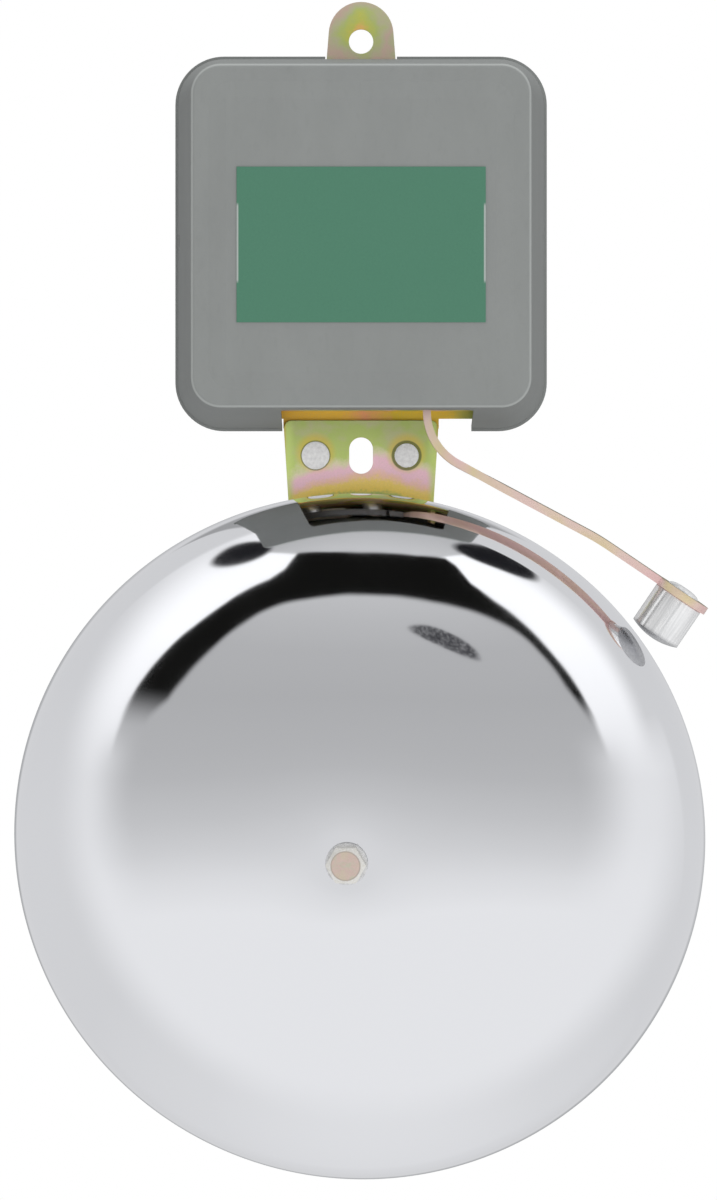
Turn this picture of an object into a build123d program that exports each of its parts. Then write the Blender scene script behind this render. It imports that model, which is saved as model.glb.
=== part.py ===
from build123d import *
import math
import os

os.makedirs("parts", exist_ok=True)

# Wall-mounted electric bell with an external striker.
# Millimetres. The origin is the centre of the hanging hole on the wall face. X points right,
# Y into the wall and Z up, so the bell faces -Y. A "depth" is measured out from the wall.

# ---------------------------------------------------------------- general
seat_gap = 0.3
screw_gap = 0.1

# ---------------------------------------------------------------- back plate
plate_thickness = 1.5
hanging_hole_radius = 3.55
tab_end_radius = 9.4
tab_end_above_hole = 2.1
tab_root_half_width = 10.1
plate_below_cover_wall = 2.0
lug_height = 13.0
lug_width = 16.0
lug_thickness = 1.5

# ---------------------------------------------------------------- cover
cover_width = 107.8
cover_height = 108.7
cover_corner_radius = 13.5
cover_depth = 52.7
cover_draft = 5.4
cover_wall = 1.0
cover_edge_radius = 1.4
cover_top_z = -4.4
rim_lip = 0.6
rim_lip_height = 1.4
panel_border = 10.0
panel_rise = 0.7
panel_corner_radius = 7.0
notch_right = 32.0
notch_front_land = 6.0
notch_corner_radius = 2.5
dimple_root_radius = 3.4
dimple_tip_radius = 1.6
dimple_height = 2.4
dimple_bulge = 1.2
dimple_depth = 7.0
label_width = 70.6
label_height = 44.1
label_thickness = 0.4
label_drop = 2.6

# ---------------------------------------------------------------- gong strap
strap_thickness = 2.0
strap_top_half_width = 22.55
strap_foot_radius = 15.0
strap_corner_radius = 2.3
strap_below_plate_edge = 0.5
strap_forward_depth = 7.4
joggle_start = 33.0
joggle_length = 7.0
strap_bend_radius = 3.0
strap_blank_depth = 30.0
seat_bend_distance = 25.0
tongue_length = 31.0
slot_drop = 10.2
slot_height = 10.6
slot_width = 6.9
rivet_spacing = 26.4
rivet_shank_radius = 3.0
left_rivet_head_radius = 4.05
right_rivet_head_radius = 3.5
rivet_head_height = 0.4
rivet_head_taper = 30.0

# ---------------------------------------------------------------- gong
gong_radius = 100.0
gong_depth = 50.0
gong_wall = 1.6
gong_below_cover = 17.6
gong_stand_off = 9.5
gong_tilt = 7.6
gong_lean = 31.1
skirt_height = 4.0
skirt_draft = 12.0
shoulder_radius = 20.0
crown_flat_radius = 8.0
gong_hole_radius = 4.0
post_radius = 5.5
post_collar_radius = 8.0
post_collar_height = 3.0
post_spigot_radius = 4.0
post_peen_height = 1.2
post_peen_radius = 5.0
bolt_radius = 3.0
bolt_length = 18.0
bolt_head_width = 10.0
bolt_head_height = 4.0
bolt_crown_radius = 4.75
bolt_crown_angle = 60.0
washer_radius = 6.0
washer_thickness = 1.2

# ---------------------------------------------------------------- mechanism
mechanism_depth = 33.0
chassis_thickness = 2.0
chassis_side_margin = 4.0
chassis_top_drop = 5.5
chassis_corner_cut = 10.0
chassis_edge_above_plate_edge = 2.2
core_limb = 12.0
core_stack = 16.0
core_height = 54.0
core_length = 42.0
air_gap = 1.3
core_bolt_radius = 2.0
core_bolt_head_radius = 3.8
core_bolt_head_height = 2.4
core_bolt_length = 32.0
stand_off_radius = 5.0
stand_off_spigot_radius = 3.0
bobbin_wall = 1.0
bobbin_flange = 1.2
bobbin_size = 32.0
bobbin_gap = 0.2
winding_size = 29.0
tape_thickness = 0.4
winding_corner_radius = 4.0
armature_thickness = 6.5
armature_overhang = 4.0
strip_thickness = 2.2
strip_width = 8.0
strip_centre_x = 18.8
leaf_thickness = 0.5
leaf_width = 12.0
leaf_free_length = 5.4
leaf_lap = 16.0
clamp_thickness = 2.5
clamp_height = 7.4
clamp_screw_radius = 1.5
clamp_screw_head_radius = 2.75
clamp_screw_head_height = 2.0
bracket_thickness = 2.0
bracket_foot = 14.0
bracket_height = 8.0
bracket_screw_radius = 2.0
bracket_screw_head_radius = 3.6
bracket_screw_head_height = 2.4
screw_head_taper = 15.0
backstop_x = 29.0
backstop_below_armature = 4.0
backstop_angle = 2.0
backstop_screw_clearance = 5.0
buffer_radius = 3.5
buffer_length = 3.0
lock_nut_width = 7.0
lock_nut_thickness = 3.2

# ---------------------------------------------------------------- striker
bend_below_cover = 5.3
bend_radius = 17.0
twist_start = 12.0
twist_length = 12.0
twist_angle = -3.0
pad_angle = 34.0
pad_run = 28.7
pad_bend_radius = 60.0
eye_radius = 8.6
hammer_radius = 7.5
hammer_length = 12.2
hammer_dome = 1.6
hammer_edge = 0.4
hammer_spigot_radius = 2.9
hammer_head_radius = 5.0
hammer_head_height = 1.2
hammer_clearance = 0.75
strike_direction = 37.8

# ---------------------------------------------------------------- wiring
terminal_inset = 9.0
terminal_drop = 7.0
terminal_pitch = 8.0
terminal_body_height = 13.0
terminal_body_depth = 14.0
terminal_barrel_radius = 3.6
wire_hole_radius = 1.6
terminal_wire_depth = 6.0
terminal_screw_radius = 1.4
terminal_screw_head_radius = 2.0
terminal_well_radius = 2.3
lead_radius = 0.8
lead_bend_radius = 2.5
lead_left_of_core = 3.0
lead_spacing = 5.0
earth_x = -14.0
earth_screw_radius = 2.0
earth_head_radius = 3.8
earth_head_height = 2.6
earth_washer_radius = 4.5
earth_washer_thickness = 0.8
bush_inset = 10.0
bush_rise = 11.5
bush_radius = 6.0
bush_bore_radius = 4.0
bush_flange_radius = 8.0
bush_flange_thickness = 1.5

# ================================================================ layout
draft_slope = math.tan(math.radians(cover_draft))
cover_rim_depth = seat_gap
cover_front_depth = cover_rim_depth + cover_depth
cover_centre_z = cover_top_z - cover_height / 2
cover_bottom_z = cover_top_z - cover_height
inner_half_width = cover_width / 2 - rim_lip - cover_wall
inner_half_height = cover_height / 2 - rim_lip - cover_wall

plate_corner_radius = cover_corner_radius - cover_wall - seat_gap
plate_half_width = inner_half_width - draft_slope * plate_thickness - seat_gap
plate_top_z = cover_centre_z + inner_half_height - draft_slope * plate_thickness - seat_gap
plate_bottom_z = cover_centre_z - inner_half_height + plate_below_cover_wall

strap_top_z = plate_bottom_z - strap_below_plate_edge
slot_z = strap_top_z - slot_drop

notch_left = -strap_top_half_width - seat_gap

chassis_front_depth = plate_thickness + chassis_thickness
chassis_half_width = plate_half_width - chassis_side_margin
chassis_top_z = plate_top_z - chassis_top_drop
chassis_bottom_z = plate_bottom_z + chassis_edge_above_plate_edge
bush_x = bush_inset - chassis_half_width
bush_z = chassis_bottom_z + bush_rise
terminal_x = terminal_inset - chassis_half_width
terminal_z = chassis_top_z - terminal_drop

# The gong's axis leans out of the wall's normal, down and to the left.
tilt = math.radians(gong_tilt)
lean = math.radians(gong_lean)
axis_direction = Vector(
    -math.sin(tilt) * math.sin(lean),
    -math.cos(tilt),
    -math.sin(tilt) * math.cos(lean),
)
rim_centre_z = cover_bottom_z - gong_below_cover - gong_radius
seat_depth = strap_forward_depth + strap_thickness - seat_bend_distance * math.tan(tilt)
seat_z = rim_centre_z - gong_stand_off * axis_direction.Z
seat_centre = Vector(0, -seat_depth, seat_z)
bend_direction = Vector(math.cos(lean), 0, -math.sin(lean))
seat_plane = Plane(origin=seat_centre, x_dir=bend_direction, z_dir=axis_direction)
rim_centre = seat_centre + axis_direction * gong_stand_off
gong_section = Plane(origin=rim_centre, x_dir=bend_direction, z_dir=-seat_plane.y_dir)
gong_axis = Axis(rim_centre, axis_direction)

# The strap is mitred where its foot bends out of the forward plane.
downhill = Vector(-math.sin(lean), 0, -math.cos(lean))
foot_downhill = downhill * math.cos(tilt) + Vector(0, math.sin(tilt), 0)
bend_point = Vector(0, -strap_forward_depth - strap_thickness, seat_z) - downhill * seat_bend_distance
mitre_plane = Plane(origin=bend_point, x_dir=bend_direction, z_dir=downhill + foot_downhill)

# The mechanism stacks up leftwards from the striker strip.
strip_left_x = strip_centre_x - strip_thickness / 2
strip_right_x = strip_centre_x + strip_thickness / 2
armature_left_x = strip_left_x - armature_thickness
pole_x = armature_left_x - air_gap
core_left_x = pole_x - core_length
bracket_reach = mechanism_depth + leaf_width / 2 + bracket_thickness
cover_top_at_reach = cover_centre_z + inner_half_height - draft_slope * bracket_reach
bracket_top = cover_top_at_reach - 2 * seat_gap
bracket_bottom_z = bracket_top - bracket_height
armature_top_z = bracket_bottom_z - leaf_free_length
core_top = armature_top_z - armature_overhang
core_bottom_z = core_top - core_height
armature_bottom_z = core_bottom_z - armature_overhang
hinge_z = bracket_bottom_z - leaf_free_length / 2
backstop_z = armature_bottom_z - backstop_below_armature
core_back_depth = mechanism_depth - core_stack / 2
core_front_depth = mechanism_depth + core_stack / 2
core_bolt_points = [
    (x, z)
    for x in (core_left_x + core_limb / 2, pole_x - core_limb / 2)
    for z in (core_top - core_limb / 2, core_bottom_z + core_limb / 2)
]
rivet_zs = (armature_top_z - leaf_lap / 2, (armature_top_z + armature_bottom_z) / 2,
            armature_bottom_z + leaf_lap / 2)

# The hammer stands just clear of the gong, so its place follows from the gong.
bend_corner_z = cover_bottom_z - bend_below_cover
strike = math.radians(strike_direction)
pad = math.radians(pad_angle)
dome_radius = (hammer_radius**2 + hammer_dome**2) / (2 * hammer_dome)
dome_reach = gong_radius + hammer_clearance + dome_radius
eye_to_dome_centre = strip_thickness / 2 + hammer_length + hammer_dome - dome_radius
eye_x = rim_centre.X + dome_reach * math.cos(strike) + eye_to_dome_centre * math.sin(pad)
eye_z = rim_centre.Z + dome_reach * math.sin(strike) + eye_to_dome_centre * math.cos(pad)
pad_bend_x = eye_x - pad_run * math.cos(pad)
pad_bend_z = eye_z + pad_run * math.sin(pad)
run_length = math.hypot(pad_bend_x - strip_centre_x, pad_bend_z - bend_corner_z)
run_direction = Vector(pad_bend_x - strip_centre_x, 0, pad_bend_z - bend_corner_z).normalized()
run_angle = math.atan2(-run_direction.Z, run_direction.X)
bend_corner = Vector(strip_centre_x, -mechanism_depth, bend_corner_z)
flat_end = bend_corner + run_direction * twist_start
twist_end = bend_corner + run_direction * (twist_start + twist_length)
edge_direction = Vector(0, -1, 0)
twisted_edge_direction = edge_direction.rotate(Axis((0, 0, 0), run_direction), -twist_angle)
run_plane = Plane(origin=twist_end, x_dir=run_direction, z_dir=twisted_edge_direction)
pad_start = run_length - twist_start - twist_length
pad_turn = math.degrees(run_angle) - pad_angle
pad_direction = run_plane.x_dir.rotate(Axis((0, 0, 0), run_plane.z_dir), pad_turn)
pad_normal = run_plane.y_dir.rotate(Axis((0, 0, 0), run_plane.z_dir), pad_turn)
eye_centre = run_plane.origin + run_plane.x_dir * pad_start + pad_direction * pad_run
eye_plane = Plane(origin=eye_centre, x_dir=pad_direction, z_dir=pad_normal)
hammer_section = Plane(origin=eye_centre, x_dir=pad_direction, z_dir=-eye_plane.y_dir)
hammer_axis = Axis(eye_centre, pad_normal)

# The buffer's face meets the strip when the striker has swung back to its stop.
backstop_swing = math.radians(backstop_angle)
backstop_end_x = (
    inner_half_width - draft_slope * mechanism_depth - backstop_screw_clearance
)
hinge_x = strip_left_x - leaf_thickness / 2
stop_face_x = (
    hinge_x
    + (strip_right_x - hinge_x) * math.cos(backstop_swing)
    + (hinge_z - backstop_z + buffer_radius) * math.sin(backstop_swing)
    + seat_gap
)


def wall_plane(depth):
    """Plane parallel to the wall, facing out, at a depth from the wall."""
    return Plane.XZ.offset(depth)


# ================================================================ shared outlines
with BuildSketch(Plane.XZ) as strap_outline:
    with BuildLine():
        Line((-strap_top_half_width, strap_top_z), (strap_top_half_width, strap_top_z))
        CenterArc((0, seat_z), strap_foot_radius, 0, 360)
    make_hull()
    fillet(strap_outline.vertices().group_by(Axis.Y)[-1], strap_corner_radius)

with BuildSketch(Plane.XZ) as tongue_outline:
    add(strap_outline.sketch_local)
    with Locations((0, strap_top_z - tongue_length / 2)):
        Rectangle(4 * strap_top_half_width, tongue_length, mode=Mode.INTERSECT)

with BuildSketch(Plane.XZ) as tab_outline:
    with BuildLine():
        Line((-tab_root_half_width, plate_top_z), (tab_root_half_width, plate_top_z))
        CenterArc((0, tab_end_above_hole), tab_end_radius, 0, 360)
    make_hull()

with BuildSketch(Plane.XZ) as wall_slot:
    with Locations((0, slot_z)):
        SlotOverall(slot_height, slot_width, rotation=90)


def cover_form(inset):
    """Solid block of the pressed cover, with every face moved in by the inset."""
    width = cover_width - 2 * rim_lip - 2 * inset
    height = cover_height - 2 * rim_lip - 2 * inset
    depth = cover_depth - inset
    front_width = width - 2 * depth * draft_slope
    front_height = height - 2 * depth * draft_slope
    with BuildPart() as form:
        with BuildSketch(wall_plane(cover_rim_depth)):
            with Locations((0, cover_centre_z)):
                RectangleRounded(width, height, cover_corner_radius - inset)
        extrude(amount=depth, taper=cover_draft)
        fillet(form.faces().sort_by(Axis.Y)[0].edges(), cover_edge_radius - inset)
        with BuildSketch(wall_plane(cover_rim_depth + depth)):
            with Locations((0, cover_centre_z)):
                RectangleRounded(
                    front_width - panel_border,
                    front_height - panel_border,
                    panel_corner_radius,
                )
        extrude(amount=panel_rise, taper=math.degrees(math.atan2(panel_border / 2, panel_rise)))
    return form.part


# ================================================================ back plate
dimple_tip_x = inner_half_width - draft_slope * dimple_depth - dimple_bulge
lug_root_x = inner_half_width - seat_gap
lug_tip_x = lug_root_x - draft_slope * lug_height

with BuildPart() as back_plate:
    with BuildSketch(Plane.XZ):
        with Locations((0, (plate_top_z + plate_bottom_z) / 2)):
            RectangleRounded(
                2 * plate_half_width, plate_top_z - plate_bottom_z, plate_corner_radius
            )
        add(tab_outline.sketch_local)
        with Locations((0, strap_top_z - strap_corner_radius)):
            Rectangle(
                2 * strap_top_half_width,
                plate_corner_radius + strap_corner_radius,
                align=(Align.CENTER, Align.MIN),
            )
        add(tongue_outline.sketch_local)
    extrude(amount=plate_thickness)
    for side in (-1, 1):
        with BuildSketch(Plane.XY.offset(cover_centre_z)):
            with BuildLine():
                Polyline(
                    (side * lug_root_x, -cover_rim_depth),
                    (side * lug_tip_x, -lug_height),
                    (side * (lug_tip_x - lug_thickness), -lug_height),
                    (side * (lug_root_x - lug_thickness), -cover_rim_depth),
                    close=True,
                )
            make_face()
        extrude(amount=lug_width / 2, both=True)
    with Locations((0, -dimple_depth, cover_centre_z)):
        Cylinder(dimple_root_radius, 2 * cover_width, rotation=(0, 90, 0), mode=Mode.SUBTRACT)
    with BuildSketch(Plane.XZ):
        Circle(hanging_hole_radius)
        add(wall_slot.sketch_local)
        with Locations((-rivet_spacing / 2, slot_z), (rivet_spacing / 2, slot_z)):
            Circle(rivet_shank_radius + screw_gap)
        with Locations(*core_bolt_points):
            Circle(stand_off_spigot_radius + screw_gap)
        with Locations((bush_x, bush_z)):
            Circle(bush_radius + screw_gap)
    extrude(amount=plate_thickness, mode=Mode.SUBTRACT)

back_plate.part.label = "back_plate"
export_step(back_plate.part, "parts/back_plate.step")

# ================================================================ cover and label
with BuildPart() as cover_cavity:
    add(cover_form(cover_wall))
    for side in (-1, 1):
        with Locations((side * (dimple_tip_x + dimple_height / 2), -dimple_depth, cover_centre_z)):
            Cone(
                dimple_root_radius,
                dimple_tip_radius,
                dimple_height,
                rotation=(0, -90 * side, 0),
                mode=Mode.SUBTRACT,
            )

with BuildPart() as front_cover:
    add(cover_form(0))
    with BuildSketch(wall_plane(cover_rim_depth)):
        with Locations((0, cover_centre_z)):
            RectangleRounded(cover_width, cover_height, cover_corner_radius + rim_lip)
    extrude(amount=rim_lip_height)
    add(cover_cavity.part, mode=Mode.SUBTRACT)
    for side in (-1, 1):
        dent_x = dimple_tip_x + cover_wall + dimple_height / 2
        with Locations((side * dent_x, -dimple_depth, cover_centre_z)):
            Cone(
                dimple_root_radius,
                dimple_tip_radius,
                dimple_height,
                rotation=(0, -90 * side, 0),
                mode=Mode.SUBTRACT,
            )
    # opening in the bottom wall for the strap and the striker
    notch_depth = cover_front_depth - notch_front_land
    with BuildSketch(Plane.XY.offset(cover_bottom_z - rim_lip)) as notch:
        with Locations(((notch_left + notch_right) / 2, 0)):
            Rectangle(notch_right - notch_left, 2 * notch_depth)
        fillet(notch.vertices().group_by(Axis.Y)[0], notch_corner_radius)
    extrude(amount=2 * cover_corner_radius, mode=Mode.SUBTRACT)
    # slot in the top wall for the hanging tab
    with BuildSketch(Plane.XY.offset(cover_top_z + rim_lip)):
        Rectangle(2 * (tab_root_half_width + seat_gap), 2 * (plate_thickness + seat_gap))
    extrude(amount=-cover_corner_radius, mode=Mode.SUBTRACT)

front_cover.part.label = "front_cover"
export_step(front_cover.part, "parts/front_cover.step")

with BuildPart() as cover_label:
    with BuildSketch(wall_plane(cover_front_depth + panel_rise)):
        with Locations((0, cover_centre_z - label_drop)):
            Rectangle(label_width, label_height)
    extrude(amount=label_thickness)

cover_label.part.label = "cover_label"
export_step(cover_label.part, "parts/cover_label.step")

# ================================================================ gong strap and its rivets
with BuildPart() as strap_foot:
    extrude(to_extrude=strap_outline.sketch, amount=strap_blank_depth)
    with BuildSketch(seat_plane):
        Circle(gong_radius)
    extrude(amount=-strap_thickness, mode=Mode.INTERSECT)
    split(bisect_by=mitre_plane, keep=Keep.TOP)

with BuildPart() as gong_strap:
    extrude(to_extrude=strap_outline.sketch, amount=strap_blank_depth)
    with BuildSketch(Plane.YZ):
        with BuildLine():
            strap_back = FilletPolyline(
                (-plate_thickness, strap_top_z + strap_thickness),
                (-plate_thickness, strap_top_z - joggle_start),
                (-strap_forward_depth, strap_top_z - joggle_start - joggle_length),
                (-strap_forward_depth, seat_z - strap_foot_radius),
                radius=strap_bend_radius,
            )
            offset(strap_back, amount=strap_thickness, side=Side.RIGHT)
        make_face()
    extrude(amount=2 * strap_top_half_width, both=True, mode=Mode.INTERSECT)
    split(bisect_by=mitre_plane, keep=Keep.BOTTOM)
    add(strap_foot.part)
    with BuildSketch(Plane.XZ):
        add(wall_slot.sketch_local)
        with Locations((-rivet_spacing / 2, slot_z), (rivet_spacing / 2, slot_z)):
            Circle(rivet_shank_radius + screw_gap)
    extrude(amount=2 * strap_forward_depth, mode=Mode.SUBTRACT)
    with BuildSketch(seat_plane):
        Circle(post_spigot_radius + screw_gap)
    extrude(amount=-2 * strap_thickness, mode=Mode.SUBTRACT)

gong_strap.part.label = "gong_strap"
export_step(gong_strap.part, "parts/gong_strap.step")

strap_front_depth = plate_thickness + strap_thickness
with BuildPart() as strap_rivets:
    for side, head_radius in ((-1, left_rivet_head_radius), (1, right_rivet_head_radius)):
        with BuildSketch(Plane.XZ):
            with Locations((side * rivet_spacing / 2, slot_z)):
                Circle(rivet_shank_radius)
        extrude(amount=strap_front_depth)
        with BuildSketch(wall_plane(strap_front_depth)):
            with Locations((side * rivet_spacing / 2, slot_z)):
                Circle(head_radius)
        extrude(amount=rivet_head_height, taper=rivet_head_taper)

strap_rivets.part.label = "strap_rivets"
export_step(strap_rivets.part, "parts/strap_rivets.step")

# ================================================================ gong, post and bolt
# Section of the gong's outer face: a drafted skirt, a shoulder arc tangent to it, and a
# shallow crown arc tangent to the shoulder and to the small flat under the washer.
skirt = math.radians(skirt_draft)
skirt_top_x = gong_radius - skirt_height * math.tan(skirt)
shoulder_x = skirt_top_x - shoulder_radius * math.cos(skirt)
shoulder_y = skirt_height - shoulder_radius * math.sin(skirt)
crown_drop = gong_depth - shoulder_y
flat_to_shoulder = shoulder_x - crown_flat_radius
crown_radius = (flat_to_shoulder**2 + crown_drop**2 - shoulder_radius**2) / (
    2 * (crown_drop - shoulder_radius)
)
crown_angle = math.asin(flat_to_shoulder / (crown_radius - shoulder_radius))


def gong_profile(inset):
    """Points of the gong's face, moved in by the inset, from the rim to the crown."""
    shoulder = shoulder_radius - inset
    crown = crown_radius - inset
    rim_x = gong_radius - inset / math.cos(skirt)
    skirt_x = shoulder_x + shoulder * math.cos(skirt)
    skirt_y = shoulder_y + shoulder * math.sin(skirt)
    mid = (skirt + math.pi / 2 - crown_angle) / 2
    shoulder_mid = (shoulder_x + shoulder * math.cos(mid), shoulder_y + shoulder * math.sin(mid))
    meet = (
        shoulder_x + shoulder * math.sin(crown_angle),
        shoulder_y + shoulder * math.cos(crown_angle),
    )
    crown_y = gong_depth - crown_radius
    crown_mid = (
        crown_flat_radius + crown * math.sin(crown_angle / 2),
        crown_y + crown * math.cos(crown_angle / 2),
    )
    flat_edge = (crown_flat_radius, gong_depth - inset)
    return (rim_x, 0), (skirt_x, skirt_y), shoulder_mid, meet, crown_mid, flat_edge


with BuildPart() as gong:
    with BuildSketch(gong_section):
        with BuildLine():
            for inset in (0, gong_wall):
                rim, skirt_top, shoulder_mid, meet, crown_mid, flat_edge = gong_profile(inset)
                Line(rim, skirt_top)
                ThreePointArc(skirt_top, shoulder_mid, meet)
                ThreePointArc(meet, crown_mid, flat_edge)
                Line(flat_edge, (gong_hole_radius, gong_depth - inset))
            Line((gong_radius, 0), rim)
            Line((gong_hole_radius, gong_depth), (gong_hole_radius, gong_depth - gong_wall))
        make_face()
    revolve(axis=gong_axis)

gong.part.label = "gong"
export_step(gong.part, "parts/gong.step")

post_length = gong_stand_off + gong_depth - gong_wall
with BuildPart() as gong_post:
    for start, height, radius in (
        (0, post_collar_height, post_collar_radius),
        (0, post_length, post_radius),
        (post_length - post_collar_height, post_collar_height, post_collar_radius),
        (-strap_thickness, strap_thickness, post_spigot_radius),
        (-strap_thickness - post_peen_height, post_peen_height, post_peen_radius),
    ):
        with BuildSketch(seat_plane.offset(start)):
            Circle(radius)
        extrude(amount=height)
    with BuildSketch(seat_plane.offset(post_length)):
        Circle(bolt_radius + screw_gap)
    extrude(amount=-bolt_length, mode=Mode.SUBTRACT)

gong_post.part.label = "gong_post"
export_step(gong_post.part, "parts/gong_post.step")

crown_seat = gong_stand_off + gong_depth
with BuildPart() as gong_washer:
    with BuildSketch(seat_plane.offset(crown_seat)):
        Circle(washer_radius)
        Circle(bolt_radius + screw_gap, mode=Mode.SUBTRACT)
    extrude(amount=washer_thickness)

gong_washer.part.label = "gong_washer"
export_step(gong_washer.part, "parts/gong_washer.step")

with BuildPart() as gong_bolt:
    with BuildSketch(seat_plane.offset(crown_seat + washer_thickness)):
        RegularPolygon(bolt_head_width / 2, 6, major_radius=False)
    extrude(amount=bolt_head_height)
    with BuildSketch(seat_plane.offset(crown_seat + washer_thickness + bolt_head_height)):
        Circle(bolt_crown_radius)
    extrude(amount=-bolt_head_height, taper=-bolt_crown_angle, mode=Mode.INTERSECT)
    with BuildSketch(seat_plane.offset(crown_seat + washer_thickness)):
        Circle(bolt_radius)
    extrude(amount=-bolt_length)

gong_bolt.part.label = "gong_bolt"
export_step(gong_bolt.part, "parts/gong_bolt.step")

# ================================================================ chassis and brackets
hinge_screw_x = strip_left_x + (bracket_thickness + bracket_foot) / 2
stop_screw_x = backstop_x + (bracket_thickness + bracket_foot) / 2
bracket_screw_points = [
    (hinge_screw_x, bracket_top - bracket_height / 2),
    (stop_screw_x, backstop_z),
]

with BuildPart() as chassis_plate:
    with BuildSketch(wall_plane(plate_thickness)) as chassis_outline:
        with Locations((0, (chassis_top_z + chassis_bottom_z) / 2)):
            Rectangle(2 * chassis_half_width, chassis_top_z - chassis_bottom_z)
        chamfer(chassis_outline.vertices(), chassis_corner_cut)
        with Locations(*core_bolt_points):
            Circle(stand_off_spigot_radius + screw_gap, mode=Mode.SUBTRACT)
        with Locations(*bracket_screw_points, (earth_x, terminal_z)):
            Circle(bracket_screw_radius + screw_gap, mode=Mode.SUBTRACT)
        with Locations((bush_x, bush_z)):
            Circle(bush_radius + screw_gap, mode=Mode.SUBTRACT)
    extrude(amount=chassis_thickness)

chassis_plate.part.label = "chassis_plate"
export_step(chassis_plate.part, "parts/chassis_plate.step")


def angle_bracket(upright_x, centre_z):
    """Bent bracket: an upright across X, with a foot on the chassis pointing right."""
    with BuildPart() as bracket:
        with BuildSketch(Plane.XY.offset(centre_z)):
            with BuildLine():
                inside = FilletPolyline(
                    (upright_x + bracket_foot, -chassis_front_depth),
                    (upright_x, -chassis_front_depth),
                    (upright_x, -bracket_reach),
                    radius=bracket_thickness,
                )
                offset(inside, amount=bracket_thickness, side=Side.LEFT)
            make_face()
        extrude(amount=bracket_height / 2, both=True)
        with BuildSketch(wall_plane(chassis_front_depth)):
            with Locations((upright_x + (bracket_thickness + bracket_foot) / 2, centre_z)):
                Circle(bracket_screw_radius + screw_gap)
        extrude(amount=bracket_thickness, mode=Mode.SUBTRACT)
    return bracket.part


clamp_screw_offset = leaf_width / 4 + clamp_screw_radius / 2
clamp_centre_z = bracket_top - bracket_height / 2

with BuildPart() as hinge_bracket:
    add(angle_bracket(strip_left_x, clamp_centre_z))
    with BuildSketch(Plane.YZ.offset(strip_left_x)):
        with Locations(
            (-mechanism_depth - clamp_screw_offset, clamp_centre_z),
            (-mechanism_depth + clamp_screw_offset, clamp_centre_z),
        ):
            Circle(clamp_screw_radius + screw_gap)
    extrude(amount=bracket_thickness, mode=Mode.SUBTRACT)

hinge_bracket.part.label = "hinge_bracket"
export_step(hinge_bracket.part, "parts/hinge_bracket.step")

with BuildPart() as backstop_bracket:
    add(angle_bracket(backstop_x, backstop_z))
    with BuildSketch(Plane.YZ.offset(backstop_x)):
        with Locations((-mechanism_depth, backstop_z)):
            Circle(bracket_screw_radius + screw_gap)
    extrude(amount=bracket_thickness, mode=Mode.SUBTRACT)

backstop_bracket.part.label = "backstop_bracket"
export_step(backstop_bracket.part, "parts/backstop_bracket.step")

foot_front_depth = chassis_front_depth + bracket_thickness
with BuildPart() as bracket_screws:
    with BuildSketch(wall_plane(foot_front_depth)):
        with Locations(*bracket_screw_points):
            Circle(bracket_screw_head_radius)
    extrude(amount=bracket_screw_head_height, taper=screw_head_taper)
    with BuildSketch(wall_plane(foot_front_depth)):
        with Locations(*bracket_screw_points):
            Circle(bracket_screw_radius)
    extrude(amount=-bracket_thickness - chassis_thickness)

bracket_screws.part.label = "bracket_screws"
export_step(bracket_screws.part, "parts/bracket_screws.step")

with BuildPart() as backstop_screw:
    with BuildSketch(Plane.YZ.offset(stop_face_x + buffer_length / 2)):
        with Locations((-mechanism_depth, backstop_z)):
            Circle(bracket_screw_radius)
    extrude(amount=backstop_end_x - stop_face_x - buffer_length / 2)
    with BuildSketch(Plane.YZ.offset(backstop_end_x)):
        with Locations((-mechanism_depth, backstop_z)):
            Circle(bracket_screw_head_radius)
    extrude(amount=-bracket_screw_head_height)

backstop_screw.part.label = "backstop_screw"
export_step(backstop_screw.part, "parts/backstop_screw.step")

with BuildPart() as backstop_buffer:
    with BuildSketch(Plane.YZ.offset(stop_face_x)):
        with Locations((-mechanism_depth, backstop_z)):
            Circle(buffer_radius)
    extrude(amount=buffer_length)
    with BuildSketch(Plane.YZ.offset(stop_face_x + buffer_length / 2)):
        with Locations((-mechanism_depth, backstop_z)):
            Circle(bracket_screw_radius)
    extrude(amount=buffer_length, mode=Mode.SUBTRACT)

backstop_buffer.part.label = "backstop_buffer"
export_step(backstop_buffer.part, "parts/backstop_buffer.step")

with BuildPart() as backstop_nut:
    with BuildSketch(Plane.YZ.offset(backstop_x + bracket_thickness)):
        with Locations((-mechanism_depth, backstop_z)):
            RegularPolygon(lock_nut_width / 2, 6, major_radius=False)
            Circle(bracket_screw_radius + screw_gap, mode=Mode.SUBTRACT)
    extrude(amount=lock_nut_thickness)

backstop_nut.part.label = "backstop_nut"
export_step(backstop_nut.part, "parts/backstop_nut.step")

# ================================================================ electromagnet
with BuildPart() as magnet_stand_offs:
    with BuildSketch(wall_plane(chassis_front_depth)):
        with Locations(*core_bolt_points):
            Circle(stand_off_radius)
    extrude(amount=core_back_depth - chassis_front_depth)
    with BuildSketch(wall_plane(0)):
        with Locations(*core_bolt_points):
            Circle(stand_off_spigot_radius)
    extrude(amount=chassis_front_depth)
    with BuildSketch(wall_plane(core_back_depth)):
        with Locations(*core_bolt_points):
            Circle(core_bolt_radius + screw_gap)
    extrude(amount=core_front_depth - core_back_depth - core_bolt_length, mode=Mode.SUBTRACT)

magnet_stand_offs.part.label = "magnet_stand_offs"
export_step(magnet_stand_offs.part, "parts/magnet_stand_offs.step")

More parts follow.
